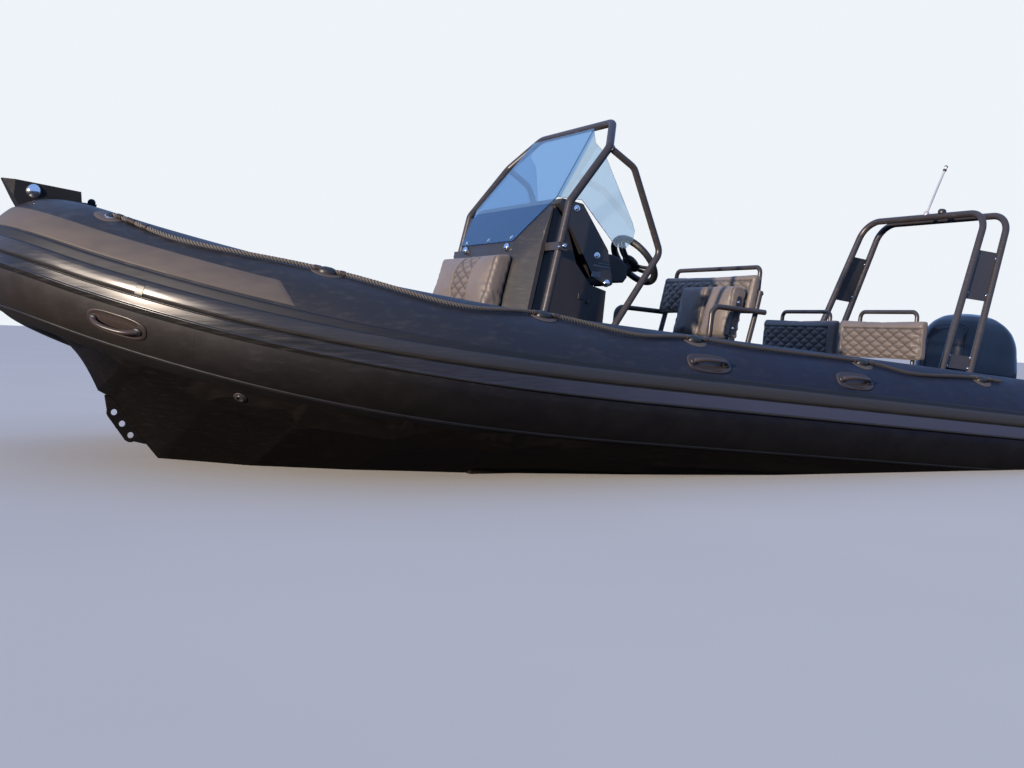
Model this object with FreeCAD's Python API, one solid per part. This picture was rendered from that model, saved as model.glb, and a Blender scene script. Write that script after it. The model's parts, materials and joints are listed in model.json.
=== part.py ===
"""Open rigid inflatable boat: welded aluminium deep-V hull, one U-shaped tube collar, console, seats,
stern arch and an outboard engine.

The boat is drawn level, in millimetres: x forward from the transom's aft face, y to port, z up from the
axis of the straight tubes. The last step trims it bow-up as it lies afloat, with the waterline at z = 0.
"""
import FreeCAD, Part
import os
from collections import namedtuple
from math import atan2, cos, degrees, radians, sin, sqrt, tan
from FreeCAD import Placement, Rotation, Vector

# Attitude afloat
trim_angle = 4.2               # bow up, degrees
waterline_at_transom = -150    # below the tube axis

# Tube collar
tube_radius = 260
tube_half_beam = 1010          # tube axis from the centreline
tube_aft_end = -100            # end of the full round section, behind the transom
tube_cone_length = 420
tube_cone_tip_radius = 120
tube_cap_length = 35
sheer_start = 2560             # where the tube axis starts to rise
sheer_power = 3.83
bow_rise = 259
plan_curve_start = 3810
plan_radius = 1710
plan_turn = 45.2               # degrees turned on the plan radius
nose_radius = tube_half_beam - 495
seat_gap = 0.3                 # running gap between pieces that sit on a curved face

# Hull
deck_level = -130
deck_thickness = 10
keel_depth = -680
flange_angle = -57             # where the hull's flange meets the tube, degrees below the horizontal
transom_thickness = 50
transom_notch_level = -45
transom_notch_half = 290
transom_shoulder_level = 90

# Rub strake, patches, rope and handles on the tube
strake_end_x = 60
patch_thickness = 3
patch_reach = 1190             # the bow wear patches, along the tube from the bow
rope_radius = 6.5
rope_patch_thickness = 1.6

# Console
console_half = 400
console_aft = 2885
console_gap = 14
cowling_half = 420
front_pad_half = 300
glass_thickness = 6
frame_tube_radius = 19
grab_tube_radius = 16
console_seat_front = 3900
console_seat_top = 120
lid_thickness = 12

# Helm
wheel_radius = 149
wheel_rim_radius = 15
wheel_side = 250               # hub to port of the centreline
wheel_rake = 44                # of the wheel's plane from the vertical, degrees
throttle_place = (2995, -230, 684)
helm_base_half = 340
helm_base_front = 2330
helm_base_aft = 1965
helm_base_top = 240
squab_hinge_x = 2082
squab_hinge_z = 300
squab_thickness = 84
squab_height = 285
squab_gap = 20
squab_middle = 145             # the pair of squabs stands behind the wheel, to port
squab_outer = 225              # half the pair's breadth
squab_lean = 8                 # aft of upright when raised, degrees
squab_pin_radius = 7
rail_tube_radius = 12
arm_tube_radius = 14
backrest_half = 395
backrest_post = 390
backrest_arm = 428

# Windscreen corners (x, half-breadth, z), the fold's foot (half-breadth, z), a point the wing passes
# through, and the rest of the wing's outline (x, z)
glass_foot = (3350, 270, 632)
glass_fold = (404, 852)
glass_top = (2979, 290, 1230)
glass_wing_aim = (2790, 452, 758)
glass_wing = ((2975, 1156), (2930, 1116), (2802, 790), (2793, 750), (2808, 706), (2850, 660), (2905, 658),
              (3074, 858))

# Stern seats and arch
bench_half = 615
bench_aft = 930
bench_front = 1400
bench_top = 115
bench_hinge_x = 1004
cushion_thickness = 80
stern_rail_x = 932
stern_rest_outer = 640
stern_rest_inner = 14
arch_tube_radius = 20
arch_bend = 125

# Bow locker
locker_aft_of_bow = 1014
locker_length = 560
locker_top = 60
locker_wall = 8

# Outboard
tilt_axis_x = 15
tilt_axis_z = 30
steer_axis_x = -165
prop_axis_z = -885
prop_radius = 178
plate_level = -690
cowl_front = 150
cowl_aft = -430
cowl_half = 215
pan_bottom = 70
cowl_bottom = 118
cowl_top = 684
cowl_wall = 5
bracket_half = 110

# Bow-eye plate
eye_plate_thickness = 12
eye_hole_radius = 13
eye_rim = 30
eye_holes = ((307, -320), (344, -366), (383, -412))   # aft of the bow, height

unit_x = Vector(1, 0, 0)
unit_y = Vector(0, 1, 0)
unit_z = Vector(0, 0, 1)
origin = Vector(0, 0, 0)

# One stretch of a sweep's path: a straight run where axis is None, else an arc about axis through centre
Stretch = namedtuple("Stretch", "start end centre axis angle")


def fused(solids):
    """Join touching solids into one and clean the seams."""
    solids = list(solids)
    if len(solids) == 1:
        return solids[0]
    return solids[0].multiFuse(solids[1:]).removeSplitter()


def mirrored(shape):
    return shape.mirror(origin, unit_y)


def on_sole(shape):
    """What stands on the sole, cut off flush with it."""
    return shape.cut(box(-800, 6000, -2000, 2000, deck_level - 400, deck_level))


def both_sides(shape):
    """The port solid and its starboard twin, kept as separate solids."""
    return Part.makeCompound([shape, mirrored(shape)])


def polygon(points):
    return Part.makePolygon(list(points) + [points[0]])


def slab(outline, y_low, y_high):
    """A side outline of (x, z) points, as thick as y_low to y_high."""
    wire = polygon([Vector(x, y_low, z) for x, z in outline])
    return Part.Face(wire).extrude(Vector(0, y_high - y_low, 0))


def flat_plate(outline, z_low, z_high):
    """A plan outline of (x, y) points, as thick as z_low to z_high."""
    wire = polygon([Vector(x, y, z_low) for x, y in outline])
    return Part.Face(wire).extrude(Vector(0, 0, z_high - z_low))


def box(x0, x1, y0, y1, z0, z1):
    return Part.makeBox(x1 - x0, y1 - y0, z1 - z0, Vector(x0, y0, z0))


def rod(start, end, radius):
    return Part.makeCylinder(radius, (end - start).Length, start, end - start)


def softened(solid, radius, pick=None):
    """Fillet the edges that pick accepts, or all of them."""
    edges = [e for e in solid.Edges if pick is None or pick(e)]
    return solid.makeFillet(radius, edges)


def along_y(edge):
    """True for a straight edge parallel to y."""
    if edge.Curve.TypeId != "Part::GeomLine":
        return False
    return abs(edge.Curve.Direction.y) > 0.99


# Paths of lines and tangent arcs

def arc_from(start, tangent, end):
    """The stretch that leaves start along tangent and ends at end."""
    chord = end - start
    across = chord - tangent * chord.dot(tangent)
    if across.Length < 1e-6 * chord.Length:
        return Stretch(start, end, None, None, 0)
    inward = Vector(across).normalize()
    radius = chord.dot(chord) / (2 * chord.dot(inward))
    angle = 2 * atan2(chord.dot(inward), chord.dot(tangent))
    return Stretch(start, end, start + inward * radius, tangent.cross(inward), degrees(angle))


def biarc(start, tangent, end, end_tangent):
    """Two arcs that join two stations and keep both tangents."""
    chord = end - start
    total = tangent + end_tangent
    spread = 2 * (1 - tangent.dot(end_tangent))
    if spread < 1e-9:
        reach = chord.dot(chord) / (4 * chord.dot(end_tangent))
    else:
        pull = chord.dot(total)
        reach = (sqrt(pull * pull + spread * chord.dot(chord)) - pull) / spread
    middle = (start + tangent * reach + end - end_tangent * reach) * 0.5
    back = arc_from(end, end_tangent * -1, middle)
    second = Stretch(middle, end, back.centre, None if back.axis is None else back.axis * -1, back.angle)
    return [arc_from(start, tangent, middle), second]


def rounded_path(points, bend):
    """Straight runs through the points, with every corner bent to the same radius."""
    path = []
    here = points[0]
    for before, corner, after in zip(points, points[1:], points[2:]):
        arriving = (corner - before).normalize()
        leaving = (after - corner).normalize()
        half_turn = arriving.getAngle(leaving) / 2
        setback = bend * tan(half_turn)
        bend_start = corner - arriving * setback
        bend_end = corner + leaving * setback
        path.append(Stretch(here, bend_start, None, None, 0))
        path.append(arc_from(bend_start, arriving, bend_end))
        here = bend_end
    path.append(Stretch(here, points[-1], None, None, 0))
    return path


def length_of(stretch):
    if stretch.axis is None:
        return (stretch.end - stretch.start).Length
    return radians(stretch.angle) * (stretch.start - stretch.centre).Length


def carried(shape, stretch, share=1.0):
    """The shape moved rigidly along a share of one stretch."""
    moved = shape.copy()
    if stretch.axis is None:
        moved.translate((stretch.end - stretch.start) * share)
    else:
        moved.rotate(stretch.centre, stretch.axis, stretch.angle * share)
    return moved


def point_on(stretch, share):
    if stretch.axis is None:
        return stretch.start + (stretch.end - stretch.start) * share
    turn = Rotation(stretch.axis, stretch.angle * share)
    return stretch.centre + turn.multVec(stretch.start - stretch.centre)


def skins(outline, path, begin=None, stop=None):
    """The side faces an outline sweeps along the path between two distances, and the two end outlines."""
    faces = []
    first_outline = None
    travelled = 0
    for stretch in path:
        run = length_of(stretch)
        first = 0 if begin is None else min(max((begin - travelled) / run, 0), 1)
        last = 1 if stop is None else min(max((stop - travelled) / run, 0), 1)
        if last > first:
            wire = carried(outline, stretch, first)
            first_outline = first_outline or wire
            if stretch.axis is None:
                faces += wire.extrude((stretch.end - stretch.start) * (last - first)).Faces
            else:
                faces += wire.revolve(stretch.centre, stretch.axis, stretch.angle * (last - first)).Faces
            last_outline = carried(outline, stretch, last)
        outline = carried(outline, stretch)
        travelled += run
    return faces, first_outline, last_outline


def closed_solid(faces):
    """Faces sewn along their shared edges into one solid."""
    shell = Part.Shell(faces)
    shell.sewShape()
    if shell.ShapeType != "Shell":
        shell = shell.Shells[0]
    solid = Part.Solid(shell)
    if solid.Volume < 0:
        solid.reverse()
    return solid


def swept(section, path, begin=None, stop=None):
    """A face carried along the path, between two distances along it."""
    faces, first_outline, last_outline = skins(section.OuterWire, path, begin, stop)
    return closed_solid(faces + [Part.Face(first_outline), Part.Face(last_outline)])


def tube(points, radius, bend):
    """A bent round tube."""
    path = rounded_path(points, bend)
    direction = points[1] - points[0]
    circle = Part.Edge(Part.Circle(points[0], direction, radius))
    return swept(Part.Face(Part.Wire(circle)), path)


# The tube collar's axis

def plan_stations():
    """Stations on the port half of the tube axis: x, y and heading in degrees towards the centreline."""
    turn = radians(plan_turn)
    run = (tube_half_beam - plan_radius * (1 - cos(turn)) - nose_radius * cos(turn)) / sin(turn)
    stations = [(sheer_start, tube_half_beam, 0)]
    for share in (0, 0.5, 1):
        heading = turn * share
        x = plan_curve_start + plan_radius * sin(heading)
        y = tube_half_beam - plan_radius * (1 - cos(heading))
        stations.append((x, y, degrees(heading)))
    x += run * cos(turn)
    y -= run * sin(turn)
    stations.append((x, y, plan_turn))
    nose_x = x - nose_radius * sin(turn)
    for heading in ((plan_turn + 90) / 2, 90):
        angle = radians(heading)
        stations.append((nose_x + nose_radius * sin(angle), nose_radius * cos(angle), heading))
    return stations


bow_x = plan_stations()[-1][0]
locker_aft = bow_x - locker_aft_of_bow
locker_front = locker_aft + locker_length


def sheer(x):
    """Height of the tube axis above its straight part."""
    return bow_rise * max(0, (x - sheer_start) / (bow_x - sheer_start)) ** sheer_power


def sheer_slope(x):
    reach = bow_x - sheer_start
    return bow_rise * sheer_power / reach * max(0, (x - sheer_start) / reach) ** (sheer_power - 1)


def collar_axis():
    """The whole axis from the port stern round the bow to the starboard stern."""
    nodes = []
    for x, y, heading in plan_stations():
        angle = radians(heading)
        tangent = Vector(cos(angle), -sin(angle), sheer_slope(x) * cos(angle)).normalize()
        nodes.append((Vector(x, y, sheer(x)), tangent))
    start = Vector(tube_aft_end, tube_half_beam, 0)
    half = [Stretch(start, nodes[0][0], None, None, 0)]
    for (p, t), (q, u) in zip(nodes, nodes[1:]):
        half += biarc(p, t, q, u)
    other = []
    for s in reversed(half):
        flip = lambda v: None if v is None else Vector(v.x, -v.y, v.z)
        other.append(Stretch(flip(s.end), flip(s.start), flip(s.centre), flip(s.axis), s.angle))
    return half, half + other


half_axis, full_axis = collar_axis()
half_length = sum(length_of(s) for s in half_axis)


def on_tube(angle, height):
    """A point of the collar's section at its port stern end: degrees above the outer horizontal, height
    above the tube's skin."""
    reach = tube_radius + height
    return Vector(tube_aft_end, tube_half_beam + reach * cos(radians(angle)), reach * sin(radians(angle)))


def skin_section(table):
    """A closed section over the tube's skin from a table of (angle, height) points; its foot is an arc."""
    first = on_tube(table[0][0], seat_gap)
    last = on_tube(table[-1][0], seat_gap)
    middle = on_tube((table[0][0] + table[-1][0]) / 2, seat_gap)
    points = [first] + [on_tube(a, h) for a, h in table] + [last]
    edges = [Part.LineSegment(p, q).toShape() for p, q in zip(points, points[1:])]
    edges.append(Part.Arc(last, middle, first).toShape())
    return Part.Face(Part.Wire(edges))


def pad_section(low_angle, high_angle, height):
    """A curved pad of even height over the tube's skin."""
    return skin_section_arc(low_angle, high_angle, seat_gap, height)


def skin_section_arc(low_angle, high_angle, foot, top):
    middle = (low_angle + high_angle) / 2
    inner = Part.Arc(on_tube(low_angle, foot), on_tube(middle, foot), on_tube(high_angle, foot))
    outer = Part.Arc(on_tube(high_angle, top), on_tube(middle, top), on_tube(low_angle, top))
    sides = [Part.LineSegment(on_tube(high_angle, foot), on_tube(high_angle, top)),
             Part.LineSegment(on_tube(low_angle, top), on_tube(low_angle, foot))]
    return Part.Face(Part.Wire([e.toShape() for e in (inner, sides[0], outer, sides[1])]))


def tube_core(radius):
    """The collar as one solid of a given section radius, with its tapered stern ends."""
    start = Vector(tube_aft_end, tube_half_beam, 0)
    circle = Part.Wire(Part.Edge(Part.Circle(start, unit_x, radius)))
    faces = skins(circle, full_axis)[0]
    grow = radius - tube_radius
    tip = tube_cone_tip_radius + grow
    end_x = tube_aft_end - tube_cone_length
    cap_x = end_x - tube_cap_length
    knee = Vector(tube_aft_end - 0.45 * tube_cone_length, 0, radius - 0.24 * (radius - tip))
    outline = [Part.Arc(Vector(tube_aft_end, 0, radius), knee, Vector(end_x, 0, tip)),
               Part.LineSegment(Vector(end_x, 0, tip), Vector(cap_x, 0, tip * 0.8)),
               Part.LineSegment(Vector(cap_x, 0, tip * 0.8), Vector(cap_x, 0, 0))]
    cone = Part.Wire([e.toShape() for e in outline]).revolve(origin, unit_x, 360)
    for side in (1, -1):
        end = cone.copy()
        end.translate(Vector(0, side * tube_half_beam, 0))
        faces += end.Faces
    return closed_solid(faces)


collar_seat = tube_core(tube_radius + seat_gap)


def collar_lengths():
    """The collar's seat as separate lengths, which cut a long hull panel more surely than the whole does."""
    start = Vector(tube_aft_end, tube_half_beam, 0)
    disc = Part.Face(Part.Wire(Part.Edge(Part.Circle(start, unit_x, tube_radius + seat_gap))))
    straight = half_axis[1].end.x - start.x
    lengths = [Part.makeCylinder(tube_radius + 2 * seat_gap, straight, start, unit_x)]
    for i, stretch in enumerate(half_axis):
        if i > 1:
            lengths.append(disc.revolve(stretch.centre, stretch.axis, stretch.angle))
        disc = carried(disc, stretch)
    return lengths + [mirrored(length) for length in lengths]


def clear_of_collar(shape):
    return shape.cut(collar_seat)


# Hull

def flange_half_breadth(x):
    """Half-breadth of the hull's flange, which runs at one angle round the collar's underside."""
    out = tube_radius * cos(radians(flange_angle))
    turn = radians(plan_turn)
    if x <= plan_curve_start:
        return tube_half_beam + out
    arc_end = plan_curve_start + (plan_radius + out) * sin(turn)
    if x <= arc_end:
        reach = plan_radius + out
        return tube_half_beam - plan_radius + sqrt(reach ** 2 - (x - plan_curve_start) ** 2)
    centre = bow_x - nose_radius
    nose_start = centre + (nose_radius + out) * sin(turn)
    if x >= nose_start:
        return sqrt((nose_radius + out) ** 2 - (x - centre) ** 2)
    y_start = tube_half_beam - plan_radius + (plan_radius + out) * cos(turn)
    return y_start - (x - arc_end) * tan(turn)


def axis_half_breadth(x):
    """Half-breadth of the tube axis at x."""
    turn = radians(plan_turn)
    if x <= plan_curve_start:
        return tube_half_beam
    if x <= plan_curve_start + plan_radius * sin(turn):
        return tube_half_beam - plan_radius + sqrt(plan_radius ** 2 - (x - plan_curve_start) ** 2)
    centre = bow_x - nose_radius
    if x >= centre + nose_radius * sin(turn):
        return sqrt(nose_radius ** 2 - (x - centre) ** 2)
    y_start = tube_half_beam - plan_radius * (1 - cos(turn))
    return y_start - (x - plan_curve_start - plan_radius * sin(turn)) * tan(turn)


# Hull frames: distance aft of the bow, keel height, how far the chine stands in from the flange, chine
# height, height of the hull's top at the tube axis
hull_frames = (
    (bow_x, keel_depth, 79, -323, -140),
    (2314, keel_depth, 82, -318, -140),
    (1614, keel_depth + 10, 104, -305, -140),
    (1164, keel_depth + 28, 145, -286, -140),
    (814, keel_depth + 68, 168, -262, -140),
    (506, -503, 210, -215, -100),
    (436, -430, 213, -195, -70),
    (294, -262, 182, -135, 20),
    (234, -234, 157, -112, 60),
    (148, -71, 132, -52, 100),
    (24, -8, 106, 12, 130),
)


def chine_at(x, inset):
    return flange_half_breadth(x) - inset


def hull_solid():
    """The decked deep-V hull up to the underside of the sole, seated in the collar."""
    sections = []
    for aft_of_bow, keel, inset, chine_z, top in hull_frames:
        x = bow_x - aft_of_bow
        flange_z = sheer(x) + tube_radius * sin(radians(flange_angle))
        half = [(chine_at(x, inset), chine_z), (flange_half_breadth(x), flange_z), (axis_half_breadth(x), top)]
        port = [Vector(x, y, z) for y, z in half]
        starboard = [Vector(x, -y, z) for y, z in reversed(half)]
        sections.append(polygon([Vector(x, 0, keel)] + port + starboard))
    lengths = collar_lengths()
    bays = []
    for aft, fore in zip(sections, sections[1:]):
        bay = Part.makeLoft([aft, fore], True, True)
        reach = bay.BoundBox
        for length in lengths:
            if length.BoundBox.intersect(reach):
                bay = bay.cut(length)
        bays.append(bay)
    return fused(bays)


def chine_rails():
    """Spray rails of triangular section along each bottom panel."""
    rails = []
    for share, frames in ((0.42, 4), (0.72, 3)):
        line = []
        for aft_of_bow, keel, inset, chine_z, _ in hull_frames[:frames]:
            x = bow_x - aft_of_bow
            line.append(Vector(x, chine_at(x, inset) * share, keel + (chine_z - keel) * share))
        for p, q in zip(line, line[1:]):
            wires = []
            for v in (p, q):
                wires.append(polygon([v + Vector(0, -30, -16), v + Vector(0, 6, -14), v + Vector(0, 14, 10),
                                      v + Vector(0, -20, 6)]))
            rails.append(Part.makeLoft(wires, True, True))
    return rails


def deck_sole():
    """The sole plate between the tubes, with an upstand-free edge against the collar."""
    wide = axis_half_breadth(locker_aft)
    nose = locker_front + 20
    narrow = axis_half_breadth(nose) - tube_radius + 30
    outline = [(transom_thickness, -tube_half_beam), (locker_aft, -wide), (nose, -narrow), (nose, narrow),
               (locker_aft, wide), (transom_thickness, tube_half_beam)]
    plate = flat_plate(outline, deck_level - deck_thickness, deck_level)
    return clear_of_collar(plate)


def transom_board():
    """The engine bulkhead: low in the middle for the bracket, with shoulders out to the tubes."""
    base = deck_level - deck_thickness
    notch = transom_notch_half
    outline = [(-tube_half_beam, base), (tube_half_beam, base), (tube_half_beam, transom_shoulder_level),
               (notch + 170, transom_shoulder_level), (notch, transom_notch_level),
               (-notch, transom_notch_level), (-notch - 170, transom_shoulder_level),
               (-tube_half_beam, transom_shoulder_level)]
    wire = polygon([Vector(0, y, z) for y, z in outline])
    return clear_of_collar(Part.Face(wire).extrude(Vector(transom_thickness, 0, 0)))


def stern_eyes():
    """Towing eyes on the transom: a pad and an eye with a cross hole."""
    eyes = []
    for side in (-1, 1):
        y = side * 520
        pad = box(-8, 0, y - 35, y + 35, -255, -185)
        ear = box(-52, -8, y - 7, y + 7, -240, -200)
        rounded = Part.makeCylinder(20, 14, Vector(-52, y - 7, -220), unit_y)
        hole = Part.makeCylinder(12, 14, Vector(-52, y - 7, -220), unit_y)
        eyes.append(fused([pad, ear, rounded]).cut(hole))
    return Part.makeCompound(eyes)


def bow_eye_plate(hull):
    """The towing plate on the stem, with three shackle holes."""
    half = eye_plate_thickness / 2
    holes = [(bow_x - aft, z) for aft, z in eye_holes]
    discs = [Part.makeCylinder(eye_rim, eye_plate_thickness, Vector(x, -half, z), unit_y) for x, z in holes]
    first, last = holes[0], holes[-1]
    along = Vector(last[0] - first[0], 0, last[1] - first[1]).normalize()
    out = Vector(-along.z, 0, along.x)
    rim = [Vector(x, 0, z) + out * eye_rim * side for (x, z) in (first, last) for side in (1, -1)]
    root = [(first[0] + 45, first[1] + 68), (rim[0].x, rim[0].z), (rim[2].x, rim[2].z),
            (last[0] - 65, last[1] - 34), (last[0] - 91, last[1] + 32), (first[0] - 17, first[1] + 90)]
    plate = fused([slab(root, -half, half)] + discs)
    for x, z in holes:
        plate = plate.cut(Part.makeCylinder(eye_hole_radius, eye_plate_thickness, Vector(x, -half, z), unit_y))
    return plate.cut(hull)


# Fittings on the collar

# Strake section: degrees above the outer horizontal, height above the skin
strake_table = ((17.5, 2), (16.5, 8), (15.3, 9), (9.2, 8), (8.4, 9), (7.9, 19), (5.5, 24), (-1.5, 24),
                (-3.3, 20), (-3.8, 14), (-4.4, 12), (-5, 15), (-11, 15), (-11.8, 19), (-13.2, 18), (-13.8, 2))


def rub_strake():
    return swept(skin_section(strake_table), full_axis, strake_end_x - tube_aft_end,
                 2 * half_length - (strake_end_x - tube_aft_end))


def wear_patches():
    """Grey sheets glued round the bow between the strake and the rope."""
    start = half_length - patch_reach
    return swept(pad_section(17.7, 41, patch_thickness), full_axis, start, 2 * half_length - start)


# Rope along the port tube: distance aft of the bow along the axis, degrees above the outer horizontal
rope_holders = ((432, 65), (1287, 72), (2146, 69), (2884, 63), (3853, 61), (4660, 58))
rope_dips = ((755, 56), (1770, 55), (2580, 55), (3232, 59.5), (4150, 50))
rope_ends = ((446, 65), (4800, 57))


def on_collar(along, angle, height):
    """A point over the tube's skin at a distance along the axis from the port stern end."""
    point = Part.Vertex(on_tube(angle, height))
    for stretch in half_axis:
        run = length_of(stretch)
        if along <= run or stretch is half_axis[-1]:
            return carried(point, stretch, along / run).Point
        point = carried(point, stretch)
        along -= run


def rope_line():
    """The rope's path over the skin, which hangs a little between its holders."""
    knots = sorted(rope_holders[1:] + rope_dips + rope_ends, reverse=True)
    lift = 2 * seat_gap + rope_patch_thickness + rope_radius
    points = []
    for (far, start), (near, end) in zip(knots, knots[1:]):
        steps = max(2, round((far - near) / 300))
        for step in range(steps):
            share = step / steps
            eased = share * share * (3 - 2 * share)
            points.append(on_collar(half_length - far + (far - near) * share, start + (end - start) * eased, lift))
    points.append(on_collar(half_length - knots[-1][0], knots[-1][1], lift))
    ahead = points[1:] + [points[-1] * 2 - points[-2]]
    behind = [points[0] * 2 - points[1]] + points[:-1]
    tangents = [(q - p).normalize() for p, q in zip(behind, ahead)]
    path = []
    for p, t, q, u in zip(points, tangents, points[1:], tangents[1:]):
        path += biarc(p, t, q, u)
    return path, tangents[0]


def lifelines():
    """The rope along the top of each tube."""
    path, tangent = rope_line()
    circle = Part.Edge(Part.Circle(path[0].start, tangent, rope_radius))
    return both_sides(swept(Part.Face(Part.Wire(circle)), path))


def rope_patches():
    """Patches that hold the rope."""
    patches = []
    for aft_of_bow, angle in rope_holders:
        at = half_length - aft_of_bow
        section = skin_section_arc(angle - 11, angle + 11, seat_gap, seat_gap + rope_patch_thickness)
        sheet = swept(section, full_axis, at - 62, at + 62)
        patches += [sheet, mirrored(sheet)]
    return Part.makeCompound(patches)


# Handles: distance along the axis, angle round the tube, length
handle_table = ((half_length - 668, -32, 226), (half_length - 2895, 32, 226), (half_length - 3728, 32, 220))


def tube_handles():
    """Moulded carrying handles: a pad and a grip that stands off it."""
    handles = []
    for at, angle, length in handle_table:
        pad = swept(pad_section(angle - 9, angle + 9, 7), full_axis, at - length / 2, at + length / 2)
        grip = swept(skin_section_arc(angle - 2.6, angle + 2.6, 30, 46), full_axis,
                     at - length * 0.36, at + length * 0.36)
        legs = [swept(skin_section_arc(angle - 2.6, angle + 2.6, 6, 40), full_axis, at + end * length - 11,
                      at + end * length + 11) for end in (-0.34, 0.34)]
        handle = fused([pad, grip] + legs)
        handles += [handle, mirrored(handle)]
    return Part.makeCompound(handles)


# Bow fittings

def at_bow(x, z):
    """A place given from the foremost point of the tube axis and the tube's top there."""
    return bow_x + x, bow_rise + tube_radius + z


step_half = 62
step_pin_radius = 12


def nose_prism(inset):
    """The nose fitting's plan, drawn in by a plate's thickness, as a tall prism."""
    half = step_half - inset
    plan = [(-130, -half), (164, -half), (211 - inset, -20), (211 - inset, 20), (164, half), (-130, half)]
    corners = [Vector(bow_x + x, y, bow_rise + tube_radius - 200) for x, y in plan]
    return Part.Face(Part.makePolygon(corners + corners[:1])).extrude(Vector(0, 0, 400))


def bow_step():
    """The folded nose fitting over the tube, open below, with its tongue and knob."""
    half = step_half + 10
    outer = [at_bow(211, 57), at_bow(137, -53), at_bow(97, -30), at_bow(40, -60), at_bow(-100, -60),
             at_bow(-84, 45)]
    inner = [at_bow(204, 50), at_bow(120, -75), at_bow(-94, -75), at_bow(-77, 38)]
    shell = slab(outer, -half, half).common(nose_prism(0)).cut(slab(inner, -half, half).common(nose_prism(6)))
    knob_x, knob_z = at_bow(-136, 14)
    tongue = box(knob_x - 18, knob_x + 54, -22, 22, knob_z - 14, knob_z - 6)
    post = rod(Vector(knob_x, 0, knob_z - 12), Vector(knob_x, 0, knob_z), 7)
    knob = Part.makeSphere(16, Vector(knob_x, 0, knob_z))
    pin_x, pin_z = at_bow(93, 19)
    pin_way = rod(Vector(pin_x, -100, pin_z), Vector(pin_x, 100, pin_z), step_pin_radius + seat_gap)
    return clear_of_collar(fused([shell, tongue, post, knob])).cut(pin_way)


def bow_pin():
    """The polished cross pin with domed heads."""
    x, z = at_bow(93, 19)
    pin = rod(Vector(x, -step_half - 4, z), Vector(x, step_half + 4, z), step_pin_radius)
    face = step_half + seat_gap
    dome = Part.makeSphere(34, Vector(x, face - 18, z))
    head = dome.common(box(x - 45, x + 45, face, face + 30, z - 45, z + 45))
    return fused([pin, head, mirrored(head)])


locker_lid_half = axis_half_breadth(locker_aft) - tube_radius - 112
locker_nose_half = axis_half_breadth(locker_front) - tube_radius - 140


def bow_locker():
    """A hollow locker between the tubes, open at the top under its lid."""
    front_half = locker_nose_half
    aft_half = axis_half_breadth(locker_aft)
    outline = [(locker_aft, -aft_half), (locker_front, -front_half - 150), (locker_front, front_half + 150),
               (locker_aft, aft_half)]
    outer = flat_plate(outline, deck_level, locker_top)
    wide = locker_lid_half - 26
    opening = [(locker_aft + 40, -wide), (locker_front - 60, -front_half + 20), (locker_front - 60, front_half - 20),
               (locker_aft + 40, wide)]
    well = flat_plate(opening, deck_level + locker_wall, locker_top)
    return clear_of_collar(outer.cut(well))


def bow_locker_lid():
    """The locker's lid, hinged at its forward edge."""
    wide, narrow = locker_lid_half, locker_nose_half
    outline = [(locker_aft + 16, -wide), (locker_front - 36, -narrow), (locker_front - 36, narrow),
               (locker_aft + 16, wide)]
    lid = flat_plate(outline, locker_top + seat_gap, locker_top + seat_gap + lid_thickness)
    knuckles = [rod(Vector(locker_front - 24, y - 40, locker_top + 9), Vector(locker_front - 24, y + 40,
                locker_top + 9), 6) for y in (-150, 150)]
    leaves = [box(locker_front - 40, locker_front - 24, y - 40, y + 40, locker_top + 3, locker_top + 12)
              for y in (-150, 150)]
    return clear_of_collar(fused([lid] + knuckles + leaves))


# Console

def gap_line(z):
    """The cowling's back edge, which leans aft going up."""
    return 3355 - (z - deck_level) * 131 / 980


def console_body():
    """The helm side of the console with its knee space."""
    top = 812
    outline = [(gap_line(deck_level) - console_gap, deck_level), (gap_line(top) - console_gap, top),
               (3140, 735), (3066, 560), (2975, 470), (console_aft, 452), (console_aft, deck_level)]
    return slab(outline, -console_half, console_half)


def glass_back(z):
    """The glass's inner face on the centreline."""
    slope = (glass_top[0] - glass_foot[0]) / (glass_top[2] - glass_foot[2])
    inner = glass_foot[0] - glass_thickness * sqrt(1 + slope * slope) - seat_gap
    return inner + slope * (z - glass_foot[2])


def front_line(z):
    """The flat front of the cowling below the glass."""
    return 3440 - (z - deck_level) * (3440 - glass_back(630)) / (630 - deck_level)


def console_cowling():
    """The chamfered front of the console, narrower in front and sloped under the windscreen."""
    wires = []
    for z, side_set, front_half, front_x in ((deck_level, 20, 306, front_line(deck_level)),
                                             (630, 22, 274, front_line(630)), (800, 8, 374, glass_back(800))):
        back = gap_line(z)
        half = cowling_half
        plan = [(back, -half), (back + side_set, -half), (front_x, -front_half), (front_x, front_half),
                (back + side_set, half), (back, half)]
        wires.append(polygon([Vector(x, y, z) for x, y in plan]))
    return Part.makeLoft(wires, True, True)


def dash_pod():
    """The raised instrument pod with overhanging cheeks."""
    outline = [(2867, 486), (2880, 476), (2975, 503), (3150, 748), (3200, 822), (3190, 846), (3075, 838),
               (2910, 642)]
    pod = slab(outline, -cowling_half, cowling_half)
    pod = softened(pod, 14, lambda e: along_y(e) and e.CenterOfMass.z > 600 and e.CenterOfMass.x < 3100)
    recess = [(2905, 625), (2880, 600), (2855, 470), (2905, 500), (2922, 596), (3068, 772), (3040, 812)]
    return pod.cut(slab(recess, -cowling_half + 30, cowling_half - 30)).cut(console_body())


def front_pad():
    """The backrest on the front of the console."""
    foot = seat_gap
    outline = [(front_line(215) + foot, 215), (front_line(215) + 84, 217), (3482, 330), (3430, 556),
               (front_line(566) + foot + 8, 566), (front_line(545) + foot, 545)]
    pad = slab(outline, -front_pad_half, front_pad_half)
    return softened(pad, 12, lambda e: e.CenterOfMass.x > front_line(e.CenterOfMass.z) + 4 and along_y(e))


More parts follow.
